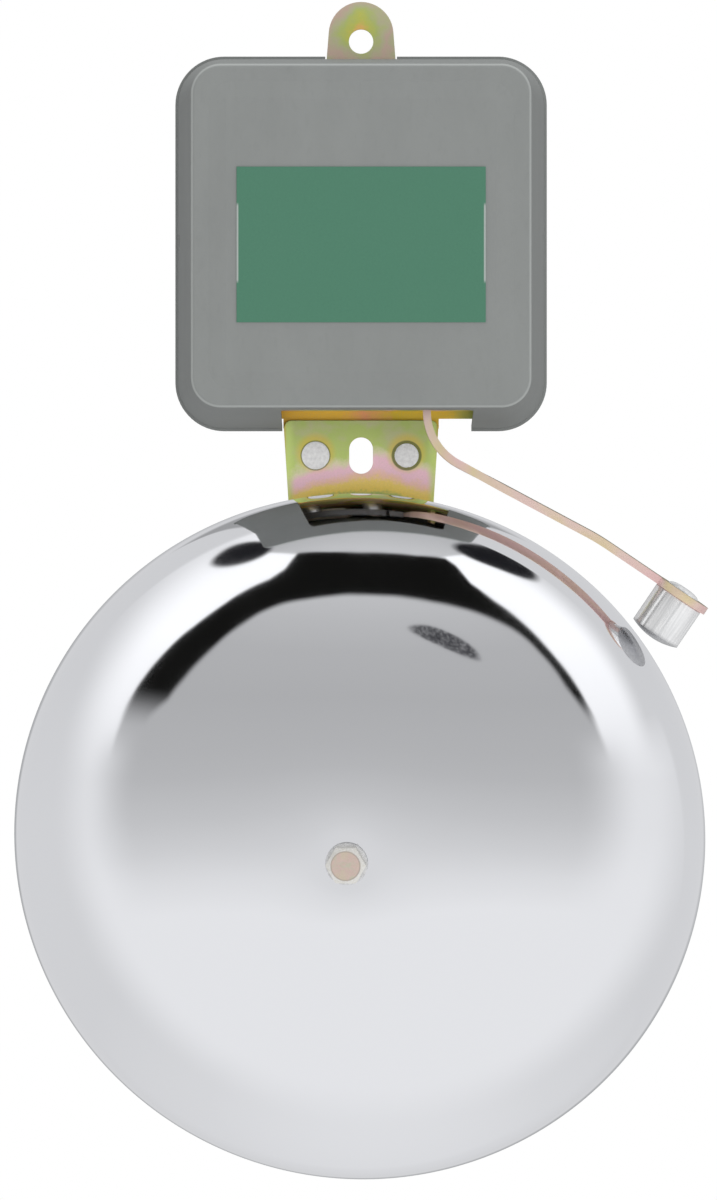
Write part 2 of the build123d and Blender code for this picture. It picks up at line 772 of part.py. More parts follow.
with BuildPart() as magnet_core:
    with BuildSketch(wall_plane(core_back_depth)):
        with Locations(((core_left_x + pole_x) / 2, (core_top + core_bottom_z) / 2)):
            Rectangle(core_length, core_height)
        with Locations((pole_x, (core_top + core_bottom_z) / 2)):
            Rectangle(
                2 * (core_length - core_limb), core_height - 2 * core_limb, mode=Mode.SUBTRACT
            )
        with Locations(*core_bolt_points):
            Circle(core_bolt_radius + screw_gap, mode=Mode.SUBTRACT)
    extrude(amount=core_stack)

magnet_core.part.label = "magnet_core"
export_step(magnet_core.part, "parts/magnet_core.step")

with BuildPart() as core_bolts:
    with BuildSketch(wall_plane(core_front_depth)):
        with Locations(*core_bolt_points):
            Circle(core_bolt_head_radius)
    extrude(amount=core_bolt_head_height, taper=screw_head_taper)
    with BuildSketch(wall_plane(core_front_depth)):
        with Locations(*core_bolt_points):
            Circle(core_bolt_radius)
    extrude(amount=-core_bolt_length)

core_bolts.part.label = "core_bolts"
export_step(core_bolts.part, "parts/core_bolts.step")

# The coil sits on the core's back leg, between the two limbs.
coil_x = core_left_x + core_limb / 2
coil_centre_z = (core_top + core_bottom_z) / 2
bobbin_length = core_height - 2 * core_limb - 2 * bobbin_gap
winding_length = bobbin_length - 2 * bobbin_flange
coil_plane = Plane.XY.offset(coil_centre_z)

with BuildPart() as coil_bobbin:
    with BuildSketch(coil_plane):
        with Locations((coil_x, -mechanism_depth)):
            Rectangle(
                core_limb + 2 * bobbin_gap + 2 * bobbin_wall,
                core_stack + 2 * bobbin_gap + 2 * bobbin_wall,
            )
    extrude(amount=bobbin_length / 2, both=True)
    for end in (-1, 1):
        with BuildSketch(Plane.XY.offset(coil_centre_z + end * bobbin_length / 2)):
            with Locations((coil_x, -mechanism_depth)):
                RectangleRounded(bobbin_size, bobbin_size, winding_corner_radius / 2)
        extrude(amount=-end * bobbin_flange)
    with BuildSketch(coil_plane):
        with Locations((coil_x, -mechanism_depth)):
            Rectangle(core_limb + 2 * bobbin_gap, core_stack + 2 * bobbin_gap)
    extrude(amount=bobbin_length, both=True, mode=Mode.SUBTRACT)

coil_bobbin.part.label = "coil_bobbin"
export_step(coil_bobbin.part, "parts/coil_bobbin.step")

with BuildPart() as coil_winding:
    with BuildSketch(coil_plane):
        with Locations((coil_x, -mechanism_depth)):
            RectangleRounded(winding_size, winding_size, winding_corner_radius)
            Rectangle(
                core_limb + 2 * bobbin_gap + 2 * bobbin_wall,
                core_stack + 2 * bobbin_gap + 2 * bobbin_wall,
                mode=Mode.SUBTRACT,
            )
    extrude(amount=winding_length / 2, both=True)

coil_winding.part.label = "coil_winding"
export_step(coil_winding.part, "parts/coil_winding.step")

taped_size = winding_size + 2 * tape_thickness
with BuildPart() as coil_tape:
    with BuildSketch(coil_plane):
        with Locations((coil_x, -mechanism_depth)):
            RectangleRounded(taped_size, taped_size, winding_corner_radius + tape_thickness)
            RectangleRounded(
                winding_size, winding_size, winding_corner_radius, mode=Mode.SUBTRACT
            )
    extrude(amount=winding_length / 2, both=True)

coil_tape.part.label = "coil_tape"
export_step(coil_tape.part, "parts/coil_tape.step")

# ================================================================ leaf hinge and armature
with BuildPart() as leaf_spring:
    with BuildSketch(Plane.YZ.offset(strip_left_x)):
        with Locations((-mechanism_depth, (bracket_top + armature_top_z - leaf_lap) / 2)):
            Rectangle(leaf_width, bracket_top - armature_top_z + leaf_lap)
        with Locations(
            (-mechanism_depth - clamp_screw_offset, clamp_centre_z),
            (-mechanism_depth + clamp_screw_offset, clamp_centre_z),
        ):
            Circle(clamp_screw_radius + screw_gap, mode=Mode.SUBTRACT)
        with Locations((-mechanism_depth, rivet_zs[0])):
            Circle(clamp_screw_radius + screw_gap, mode=Mode.SUBTRACT)
    extrude(amount=-leaf_thickness)

leaf_spring.part.label = "leaf_spring"
export_step(leaf_spring.part, "parts/leaf_spring.step")

with BuildPart() as spring_clamp:
    with BuildSketch(Plane.YZ.offset(strip_left_x - leaf_thickness)):
        with Locations((-mechanism_depth, clamp_centre_z)):
            Rectangle(leaf_width, clamp_height)
        with Locations(
            (-mechanism_depth - clamp_screw_offset, clamp_centre_z),
            (-mechanism_depth + clamp_screw_offset, clamp_centre_z),
        ):
            Circle(clamp_screw_radius + screw_gap, mode=Mode.SUBTRACT)
    extrude(amount=-clamp_thickness)

spring_clamp.part.label = "spring_clamp"
export_step(spring_clamp.part, "parts/spring_clamp.step")

clamp_face_x = strip_left_x - leaf_thickness - clamp_thickness
with BuildPart() as clamp_screws:
    for radius, length in (
        (clamp_screw_head_radius, -clamp_screw_head_height),
        (clamp_screw_radius, clamp_thickness + leaf_thickness + bracket_thickness),
    ):
        with BuildSketch(Plane.YZ.offset(clamp_face_x)):
            with Locations(
                (-mechanism_depth - clamp_screw_offset, clamp_centre_z),
                (-mechanism_depth + clamp_screw_offset, clamp_centre_z),
            ):
                Circle(radius)
        extrude(amount=length)

clamp_screws.part.label = "clamp_screws"
export_step(clamp_screws.part, "parts/clamp_screws.step")

with BuildPart() as armature:
    with BuildSketch(Plane.YZ.offset(armature_left_x)) as armature_face:
        with Locations((-mechanism_depth, (armature_top_z + armature_bottom_z) / 2)):
            Rectangle(core_stack, armature_top_z - armature_bottom_z)
        chamfer(armature_face.vertices(), strip_thickness)
        with Locations(*[(-mechanism_depth, z) for z in rivet_zs]):
            Circle(clamp_screw_radius + screw_gap, mode=Mode.SUBTRACT)
    extrude(amount=armature_thickness)
    # pocket for the leaf
    with BuildSketch(Plane.YZ.offset(strip_left_x)):
        with Locations((-mechanism_depth, armature_top_z)):
            Rectangle(leaf_width + 2 * screw_gap, 2 * (leaf_lap + screw_gap))
    extrude(amount=-leaf_thickness, mode=Mode.SUBTRACT)

armature.part.label = "armature"
export_step(armature.part, "parts/armature.step")

with BuildPart() as armature_rivets:
    for radius, start, length in (
        (clamp_screw_radius, armature_left_x, armature_thickness + strip_thickness),
        (clamp_screw_head_radius, strip_right_x, clamp_screw_head_height / 2),
    ):
        with BuildSketch(Plane.YZ.offset(start)):
            with Locations(*[(-mechanism_depth, z) for z in rivet_zs]):
                Circle(radius)
        extrude(amount=length)

armature_rivets.part.label = "armature_rivets"
export_step(armature_rivets.part, "parts/armature_rivets.step")

# ================================================================ striker strip and hammer
twist_section = Plane(origin=flat_end, x_dir=edge_direction, z_dir=run_direction)
twisted_section = Plane(origin=twist_end, x_dir=twisted_edge_direction, z_dir=run_direction)

with BuildPart() as striker_strip:
    with BuildSketch(wall_plane(mechanism_depth)):
        with BuildLine():
            FilletPolyline(
                (strip_centre_x, armature_top_z - seat_gap),
                (strip_centre_x, bend_corner_z),
                (flat_end.X, flat_end.Z),
                radius=bend_radius,
            )
        trace(line_width=strip_thickness)
    extrude(amount=strip_width / 2, both=True)
    for section in (twist_section, twisted_section):
        with BuildSketch(section):
            Rectangle(strip_width, strip_thickness)
    loft()
    with BuildSketch(run_plane):
        with BuildLine():
            FilletPolyline(
                (0, 0),
                (pad_start, 0),
                (
                    pad_start + pad_run * math.cos(math.radians(pad_turn)),
                    pad_run * math.sin(math.radians(pad_turn)),
                ),
                radius=pad_bend_radius,
            )
        trace(line_width=strip_thickness)
    extrude(amount=strip_width / 2, both=True)
    with BuildSketch(eye_plane):
        Circle(eye_radius)
    extrude(amount=strip_thickness / 2, both=True)
    with BuildSketch(eye_plane):
        Circle(hammer_spigot_radius + screw_gap)
    extrude(amount=strip_thickness, both=True, mode=Mode.SUBTRACT)
    with BuildSketch(Plane.YZ.offset(strip_left_x)):
        with Locations(*[(-mechanism_depth, z) for z in rivet_zs]):
            Circle(clamp_screw_radius + screw_gap)
    extrude(amount=strip_thickness, mode=Mode.SUBTRACT)

striker_strip.part.label = "striker_strip"
export_step(striker_strip.part, "parts/striker_strip.step")

with BuildPart() as hammer_head:
    with BuildSketch(hammer_section):
        with BuildLine():
            top = -strip_thickness / 2
            edge_y = top - hammer_length
            head_y = strip_thickness / 2 + hammer_head_height
            Polyline(
                (0, head_y),
                (hammer_head_radius - hammer_head_height, head_y),
                (hammer_head_radius, strip_thickness / 2),
                (hammer_spigot_radius, strip_thickness / 2),
                (hammer_spigot_radius, top),
                (hammer_radius - hammer_edge, top),
                (hammer_radius, top - hammer_edge),
                (hammer_radius, edge_y),
            )
            dome_angle = math.asin(hammer_radius / dome_radius)
            ThreePointArc(
                (hammer_radius, edge_y),
                (
                    dome_radius * math.sin(dome_angle / 2),
                    edge_y - hammer_dome + dome_radius * (1 - math.cos(dome_angle / 2)),
                ),
                (0, edge_y - hammer_dome),
            )
            Line((0, edge_y - hammer_dome), (0, head_y))
        make_face()
    revolve(axis=hammer_axis)

hammer_head.part.label = "hammer_head"
export_step(hammer_head.part, "parts/hammer_head.step")

# ================================================================ wiring
pole_xs = (terminal_x - terminal_pitch / 2, terminal_x + terminal_pitch / 2)
wire_depth = chassis_front_depth + terminal_wire_depth
terminal_front = chassis_front_depth + terminal_body_depth - terminal_barrel_radius
terminal_bottom_z = terminal_z - terminal_body_height / 2
screw_zs = (terminal_z - terminal_body_height / 4, terminal_z + terminal_body_height / 4)
screw_points = [(x, z) for x in pole_xs for z in screw_zs]

with BuildPart() as terminal_block:
    with BuildSketch(Plane.XY.offset(terminal_bottom_z)):
        with Locations((terminal_x, -(chassis_front_depth + terminal_front) / 2)):
            Rectangle(
                terminal_pitch + 2 * terminal_barrel_radius, terminal_front - chassis_front_depth
            )
        with Locations(*[(x, -terminal_front) for x in pole_xs]):
            Circle(terminal_barrel_radius)
        with Locations(*[(x, -wire_depth) for x in pole_xs]):
            Circle(wire_hole_radius, mode=Mode.SUBTRACT)
    extrude(amount=terminal_body_height)
    with BuildSketch(wall_plane(wire_depth)):
        with Locations(*screw_points):
            Circle(terminal_well_radius)
    extrude(amount=terminal_body_depth, mode=Mode.SUBTRACT)

terminal_block.part.label = "terminal_block"
export_step(terminal_block.part, "parts/terminal_block.step")

with BuildPart() as terminal_screws:
    with BuildSketch(wall_plane(wire_depth + lead_radius)):
        with Locations(*screw_points):
            Circle(terminal_screw_radius)
    extrude(amount=terminal_front - wire_depth)
    with BuildSketch(wall_plane(terminal_front)):
        with Locations(*screw_points):
            Circle(terminal_screw_head_radius)
    extrude(amount=terminal_screw_radius)

terminal_screws.part.label = "terminal_screws"
export_step(terminal_screws.part, "parts/terminal_screws.step")

bobbin_top_z = coil_centre_z + bobbin_length / 2
lead_turn_z = terminal_bottom_z - lead_bend_radius - screw_gap
lead_xs = (core_left_x - lead_left_of_core - lead_spacing, core_left_x - lead_left_of_core)
with BuildPart() as coil_leads:
    for lead_x, lead_pole_x in zip(lead_xs, pole_xs):
        with BuildLine() as lead_route:
            FilletPolyline(
                (lead_x, -mechanism_depth, bobbin_top_z),
                (lead_x, -mechanism_depth, lead_turn_z),
                (lead_pole_x, -wire_depth, lead_turn_z),
                (lead_pole_x, -wire_depth, terminal_z),
                radius=lead_bend_radius,
            )
        with BuildSketch(Plane(origin=lead_route.line @ 0, z_dir=lead_route.line % 0)):
            Circle(lead_radius)
        sweep(path=lead_route.line)

coil_leads.part.label = "coil_leads"
export_step(coil_leads.part, "parts/coil_leads.step")

with BuildPart() as earth_screw:
    with BuildSketch(wall_plane(chassis_front_depth)):
        with Locations((earth_x, terminal_z)):
            Circle(earth_screw_radius)
    extrude(amount=-chassis_thickness)
    with BuildSketch(wall_plane(chassis_front_depth)):
        with Locations((earth_x, terminal_z)):
            Circle(earth_washer_radius)
    extrude(amount=earth_washer_thickness)
    with BuildSketch(wall_plane(chassis_front_depth + earth_washer_thickness)):
        with Locations((earth_x, terminal_z)):
            Circle(earth_head_radius)
    extrude(amount=earth_head_height, taper=screw_head_taper)

earth_screw.part.label = "earth_screw"
export_step(earth_screw.part, "parts/earth_screw.step")

with BuildPart() as cable_bush:
    with BuildSketch(wall_plane(chassis_front_depth)):
        with Locations((bush_x, bush_z)):
            Circle(bush_flange_radius)
    extrude(amount=bush_flange_thickness)
    with BuildSketch(wall_plane(0)):
        with Locations((bush_x, bush_z)):
            Circle(bush_radius)
    extrude(amount=chassis_front_depth)
    with BuildSketch(wall_plane(0)):
        with Locations((bush_x, bush_z)):
            Circle(bush_bore_radius)
    extrude(amount=2 * chassis_front_depth, mode=Mode.SUBTRACT)

cable_bush.part.label = "cable_bush"
export_step(cable_bush.part, "parts/cable_bush.step")
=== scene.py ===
import math
import random

import bmesh
import bpy
from bpy.props import FloatProperty, FloatVectorProperty, IntProperty, PointerProperty
from mathutils import Matrix, Vector, noise


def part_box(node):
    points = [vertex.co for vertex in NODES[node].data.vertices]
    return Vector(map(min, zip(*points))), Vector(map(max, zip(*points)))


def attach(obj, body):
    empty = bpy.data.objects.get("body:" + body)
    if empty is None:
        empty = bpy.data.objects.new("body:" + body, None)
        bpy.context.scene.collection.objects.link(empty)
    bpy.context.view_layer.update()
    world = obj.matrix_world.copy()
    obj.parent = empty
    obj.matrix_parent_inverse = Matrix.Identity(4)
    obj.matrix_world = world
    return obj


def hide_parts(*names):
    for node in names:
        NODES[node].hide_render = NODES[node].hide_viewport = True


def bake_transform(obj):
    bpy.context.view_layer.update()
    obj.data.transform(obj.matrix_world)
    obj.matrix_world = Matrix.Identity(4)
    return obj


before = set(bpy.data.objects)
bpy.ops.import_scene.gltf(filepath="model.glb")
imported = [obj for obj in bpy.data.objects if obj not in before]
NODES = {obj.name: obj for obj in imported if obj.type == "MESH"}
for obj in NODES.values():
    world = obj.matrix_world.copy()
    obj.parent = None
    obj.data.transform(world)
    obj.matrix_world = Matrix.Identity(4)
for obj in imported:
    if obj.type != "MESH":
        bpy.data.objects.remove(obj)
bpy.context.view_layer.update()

bl_info = {
    "name": "Wall bell dressing",
    "version": (1, 0, 0),
    "blender": (4, 5, 0),
    "location": "View3D > Sidebar > Bell",
    "description": "Finishes and detailed pieces for a wall-mounted electric bell",
    "category": "Object",
}

OUT_OF_WALL = Vector((0, -1, 0))
RIGHT = Vector((1, 0, 0))
UP = Vector((0, 0, 1))

# Corners nearer than JOIN are one corner, and a corner nearer than TOUCH lies on a plane.
JOIN = 1e-6
TOUCH = 1e-7

# Degrees between two faces: under the first they are one flat, up to the second they shade as
# one, and over the third their edge is rounded.
FLAT_ANGLE = 0.5
SMOOTH_ANGLE = 35
EDGE_ANGLE = 40

# Widths of the rounded edges.
NO_EDGE = 0
FINE_EDGE = 0.0002
SHEET_EDGE = 0.00025
SOFT_EDGE = 0.0003
STRIP_EDGE = 0.00035


def welded_mesh(node):
    """A mesh like a CAD node's, with the corners that its faces share joined."""
    mesh = bmesh.new()
    mesh.from_mesh(NODES[node].data)
    bmesh.ops.remove_doubles(mesh, verts=mesh.verts, dist=JOIN)
    return mesh


def loose_parts(node):
    """(lowest corner, highest corner) of each separate solid in a CAD node."""
    mesh = welded_mesh(node)
    waiting = set(mesh.verts)
    parts = []
    while waiting:
        edge = [waiting.pop()]
        found = []
        while edge:
            vert = edge.pop()
            found.append(vert.co.copy())
            for link in vert.link_edges:
                other = link.other_vert(vert)
                if other in waiting:
                    waiting.remove(other)
                    edge.append(other)
        low = Vector([min(co[i] for co in found) for i in range(3)])
        high = Vector([max(co[i] for co in found) for i in range(3)])
        parts.append((low, high))
    mesh.free()
    return sorted(parts, key=lambda part: tuple(part[0]))


def part_middle(part):
    """Middle between the lowest and the highest corner."""
    return (part[0] + part[1]) / 2


# ---------------------------------------------------------------- settings
def a_length(name, description, default):
    """A length in metres."""
    return FloatProperty(name=name, description=description, default=default, unit="LENGTH")


def an_angle(name, description, degrees):
    """An angle, given in degrees."""
    turn = math.radians(degrees)
    return FloatProperty(
        name=name, description=description, default=turn, subtype="ANGLE", unit="ROTATION"
    )


def a_place(name, description, default):
    """A place in metres."""
    return FloatVectorProperty(
        name=name, description=description, default=default, subtype="XYZ", unit="LENGTH"
    )


def a_tint(name, description, default):
    """A colour."""
    return FloatVectorProperty(
        name=name, description=description, default=default, subtype="COLOR"
    )


def a_level(name, description, default):
    """A brightness, with 1 for white."""
    return FloatProperty(name=name, description=description, default=default, subtype="FACTOR")


def a_power(name, description, default):
    """A lamp's power in watts."""
    return FloatProperty(name=name, description=description, default=default, unit="POWER")


class GongSettings(bpy.types.PropertyGroup):
    """Sizes of the gong's pressed section and how it leans."""

    rim_centre: a_place("Rim centre", "Centre of the rim", (-0.000648991, -0.015480835, -0.2307))
    tilt: an_angle("Tilt", "Angle of the gong's axis away from the wall's normal", 7.6)
    lean: an_angle("Lean", "Direction of the tilt, from straight down towards the left", 31.1)
    radius: a_length("Radius", "Outer radius at the rim", 0.1)
    depth: a_length("Depth", "Rim to the top of the crown", 0.05)
    wall: a_length("Wall", "Thickness of the sheet", 0.0016)
    skirt_height: a_length("Skirt height", "Straight part at the rim", 0.004)
    skirt_draft: an_angle("Skirt draft", "Lean of the straight part", 12)
    shoulder_radius: a_length("Shoulder radius", "Radius between skirt and crown", 0.02)
    crown_flat_radius: a_length("Crown flat", "Flat under the washer", 0.008)
    hole_radius: a_length("Hole radius", "Hole for the bolt", 0.004)
    rim_edge_radius: a_length("Rim edge radius", "Rounding of the rim", 0.0006)
    segments: IntProperty(
        name="Segments", description="Steps round the gong", default=288, min=64, max=720
    )


class FixingSettings(bpy.types.PropertyGroup):
    """Sizes of the bolts, rivets and the hammer."""

    washer_radius: a_length("Washer radius", "Outside of the washer", 0.006)
    washer_thickness: a_length("Washer thickness", "Height of the washer", 0.0012)
    bolt_width: a_length("Bolt width", "Across the hexagon's flats", 0.01)
    bolt_height: a_length("Bolt height", "Height of the hexagon", 0.004)
    bolt_crown_radius: a_length("Bolt crown radius", "Top face inside its chamfer", 0.0043)
    bolt_shank_radius: a_length("Bolt shank radius", "Half the thread size", 0.003)
    bolt_length: a_length("Bolt length", "Shank under the head", 0.018)
    hammer_seat: a_place(
        "Hammer seat", "Middle of the strip's eye", (0.0915377, -0.0328453, -0.160565)
    )
    hammer_direction: FloatVectorProperty(
        name="Hammer direction",
        description="Away from the gong along the hammer",
        default=(0.558551, -0.052058, 0.827835),
        subtype="DIRECTION",
    )
    hammer_radius: a_length("Hammer radius", "Radius of the cylinder", 0.0075)
    hammer_length: a_length("Hammer length", "Length of the cylinder", 0.0122)
    hammer_dome: a_length("Hammer dome", "Height of the domed end", 0.0016)
    hammer_edge: a_length("Hammer edge", "Rounding beside the strip", 0.0004)
    strip_thickness: a_length("Strip thickness", "Striker strip", 0.0022)
    spigot_radius: a_length("Spigot radius", "In the strip's eye", 0.0029)
    peen_radius: a_length("Peen radius", "Hammered head on the eye", 0.005)
    peen_height: a_length("Peen height", "Height of that head", 0.0012)
    strap_face: a_length("Strap face", "Y of the strap's front", -0.0035)
    rivet_shank_radius: a_length("Rivet shank radius", "Behind the strap rivets' heads", 0.0018)
    earth_head_radius: a_length("Earth screw head", "Radius of its head", 0.0038)
    earth_washer_thickness: a_length("Earth washer", "Thickness of its washer", 0.0008)
    slot_share: FloatProperty(
        name="Screw slot width",
        description="Width of a screw's slot as a share of its head's radius",
        default=0.3,
        subtype="FACTOR",
        min=0.1,
        max=0.6,
    )


class MagnetSettings(bpy.types.PropertyGroup):
    """Sizes of the stacked core."""

    core_limb: a_length("Limb width", "Width of the core's limbs", 0.012)
    sheet_thickness: a_length("Sheet thickness", "One sheet of the core", 0.0005)
    sheet_shift: a_length("Sheet shift", "Most that a sheet stands back", 0.00012)


class FinishSettings(bpy.types.PropertyGroup):
    """Main colours of the finishes."""

    paint: a_tint("Paint", "Box colour", (0.244, 0.255, 0.25))
    label: a_tint("Label", "Label colour", (0.07, 0.195, 0.128))
    chrome: a_tint("Chrome", "Gong's reflection", (0.9, 0.905, 0.925))
    green_zinc: a_tint("Green zinc", "Green tint of the passivated zinc", (0.6, 0.74, 0.22))
    gold_zinc: a_tint("Gold zinc", "Gold tint of the passivated zinc", (0.98, 0.7, 0.08))
    pink_zinc: a_tint("Pink zinc", "Pink tint of the passivated zinc", (1.0, 0.64, 0.74))
    beige_zinc: a_tint("Beige zinc", "Pale tint of the passivated zinc", (0.8, 0.74, 0.5))


class StageSettings(bpy.types.PropertyGroup):
    """Camera and studio."""

    camera_place: a_place("Camera place", "Where the camera stands", (-0.00075, -2.216, -0.1621))
    lens: FloatProperty(
        name="Lens", description="Focal length in millimetres", default=228.9, unit="CAMERA"
    )
    view_end: a_length("View end", "Farthest that the camera sees", 20)
    aim: a_place("Aim", "Where the lamps point", (0, 0, -0.15))
    floor_drop: a_length("Floor drop", "Floor below the hanging hole", 0.62)
    floor_radius: a_length("Floor radius", "Radius of the pale floor", 1.9)
    room_level: a_level("Room level", "Even light on dull surfaces", 0.38)
    front_level: a_level("Front level", "Soft light added towards the front", 0.3)
    right_level: a_level("Right level", "Soft light added towards the right", 0.16)
    front_place: a_place("Front lamp place", "Where the front lamp hangs", (0.35, -2.4, -0.22))
    front_size: a_length("Front lamp size", "Side of the front lamp", 1.6)
    front_power: a_power("Front lamp", "Power of the front lamp", 27)
    top_place: a_place("Top lamp place", "Where the top lamp hangs", (0.0, 0.1, 2.6))
    top_size: a_length("Top lamp size", "Side of the top lamp", 1.5)
    top_power: a_power("Top lamp", "Power of the lamp over the bell", 40)


SETTINGS = {
    "bell_gong": GongSettings,
    "bell_fixings": FixingSettings,
    "bell_magnet": MagnetSettings,
    "bell_finishes": FinishSettings,
    "bell_stage": StageSettings,
}


# ---------------------------------------------------------------- meshes
def arc(centre, radius, start, end, steps):
    """Points of an arc in a section, angles in degrees."""
    points = []
    for step in range(steps + 1):
        angle = math.radians(start + (end - start) * step / steps)
        points.append((centre[0] + radius * math.cos(angle), centre[1] + radius * math.sin(angle)))
    return points


def rounded(points, radii, steps=5, straight=89.5):
    """A section's polyline with each inner corner turned into an arc of its own radius."""
    made = [points[0]]
    for before, corner, after, radius in zip(points, points[1:], points[2:], radii):
        here = Vector(corner)
        back = (Vector(before) - here).normalized()
        ahead = (Vector(after) - here).normalized()
        half = back.angle(ahead) / 2
        if radius <= 0 or half > math.radians(straight):
            made.append(corner)
            continue
        reach = radius / math.tan(half)
        centre = here + (back + ahead).normalized() * (radius / math.sin(half))
        first = here + back * reach - centre
        last = here + ahead * reach - centre
        sweep = math.atan2(first.x * last.y - first.y * last.x, first.dot(last))
        for step in range(steps + 1):
            turn = Matrix.Rotation(sweep * step / steps, 2)
            made.append(tuple(centre + turn @ first))
    made.append(points[-1])
    return made


def axis_frame(origin, direction, side=None):
    """Matrix whose Z runs along direction from origin, with X as near to side as it can be."""
    z = Vector(direction).normalized()
    side = Vector(side) if side else (Vector((1, 0, 0)) if abs(z.x) < 0.9 else UP.copy())
    x = (side - z * side.dot(z)).normalized()
    y = z.cross(x)
    matrix = Matrix((x, y, z)).transposed().to_4x4()
    matrix.translation = Vector(origin)
    return matrix


def revolve(mesh, section, matrix, segments, closed=True):
    """Turns a section of (radius, height) points round the matrix's Z axis."""
    rings = []
    for radius, height in section:
        if radius < TOUCH:
            rings.append([mesh.verts.new(matrix @ Vector((0, 0, height)))])
            continue
        ring = []
        for step in range(segments):
            angle = 2 * math.pi * step / segments
            point = Vector((radius * math.cos(angle), radius * math.sin(angle), height))
            ring.append(mesh.verts.new(matrix @ point))
        rings.append(ring)
    pairs = list(zip(rings, rings[1:]))
    if closed:
        pairs.append((rings[-1], rings[0]))
    for low, high in pairs:
        if len(low) == 1 and len(high) == 1:
            continue
        for step in range(segments):
            ahead = (step + 1) % segments
            if len(low) == 1:
                mesh.faces.new((low[0], high[ahead], high[step]))
            elif len(high) == 1:
                mesh.faces.new((low[step], low[ahead], high[0]))
            else:
                mesh.faces.new((low[step], low[ahead], high[ahead], high[step]))


# Corners of a box's faces, counted with Z fastest and X slowest.
BOX_FACES = (
    (0, 1, 3, 2), (4, 6, 7, 5), (0, 4, 5, 1), (2, 3, 7, 6), (0, 2, 6, 4), (1, 5, 7, 3)
)


def box(mesh, low, high, matrix):
    """Box between two corners, in the matrix's frame."""
    corners = [
        mesh.verts.new(matrix @ Vector((x, y, z)))
        for x in (low[0], high[0])
        for y in (low[1], high[1])
        for z in (low[2], high[2])
    ]
    for face in BOX_FACES:
        mesh.faces.new([corners[i] for i in face])


def linked_object(name, mesh):
    """Makes an object of a mesh, which is used up, and puts it in the scene."""
    data = bpy.data.meshes.new(name)
    mesh.to_mesh(data)
    mesh.free()
    made = bpy.data.objects.new(name, data)
    bpy.context.scene.collection.objects.link(made)
    return made


def smooth_object(name, mesh, finish, sharp=SMOOTH_ANGLE):
    """The same with a finish, smooth except where faces meet at more than the sharp angle."""
    bmesh.ops.recalc_face_normals(mesh, faces=mesh.faces)
    piece = linked_object(name, mesh)
    piece.data.materials.append(finish)
    piece.data.shade_smooth()
    piece.data.set_sharp_from_angle(angle=math.radians(sharp))
    return piece


def new_piece(name, mesh, finish, body, replaced, sharp=SMOOTH_ANGLE):
    """Stands for CAD nodes with a finer mesh that rides on their body."""
    piece = smooth_object(name, mesh, finish, sharp)
    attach(piece, body)
    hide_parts(*replaced)
    return piece


def bending_copy(node, name, finish, start, end, steps=8):
    """Stands for a node across a joint: its mesh, cut into steps from start to end."""
    mesh = welded_mesh(node)
    way = end - start
    for step in range(steps + 1):
        parts = mesh.verts[:] + mesh.edges[:] + mesh.faces[:]
        place = start + way * step / steps
        bmesh.ops.bisect_plane(mesh, geom=parts, dist=TOUCH, plane_co=place, plane_no=way)
    piece = smooth_object(name, mesh, finish)
    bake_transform(piece)
    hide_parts(node)
    return piece


def cut(piece, cutters):
    """Cuts a mesh of boxes, which is used up, out of a piece."""
    bmesh.ops.recalc_face_normals(cutters, faces=cutters.faces)
    cutter = linked_object("cutter", cutters)
    modifier = piece.modifiers.new("slots", "BOOLEAN")
    modifier.operation = "DIFFERENCE"
    modifier.solver = "EXACT"
    modifier.object = cutter
    graph = bpy.context.evaluated_depsgraph_get()
    made = bpy.data.meshes.new_from_object(piece.evaluated_get(graph))
    piece.modifiers.clear()
    made.name = piece.name
    piece.data = made
    made.set_sharp_from_angle(angle=math.radians(SMOOTH_ANGLE))
    bpy.data.objects.remove(cutter)


def dress(node, finish=None, edge=FINE_EDGE):
    """Gives a CAD node a finish in place of its own plain one and rounds its edges, where set."""
    piece = NODES[node]
    if finish:
        piece.data.materials.clear()
        piece.data.materials.append(finish)
    if edge:
        weld = piece.modifiers.new("join", "WELD")
        weld.merge_threshold = JOIN
        flat = piece.modifiers.new("flats", "DECIMATE")
        flat.decimate_type = "DISSOLVE"
        flat.angle_limit = math.radians(FLAT_ANGLE)
        bevel = piece.modifiers.new("edges", "BEVEL")
        bevel.width = edge
        bevel.segments = 2
        bevel.limit_method = "ANGLE"
        bevel.angle_limit = math.radians(EDGE_ANGLE)
        bevel.harden_normals = True


# ---------------------------------------------------------------- finishes
# Noise runs from 0 to 1, and most of it lies between these.
MOST = (0.3, 0.7)


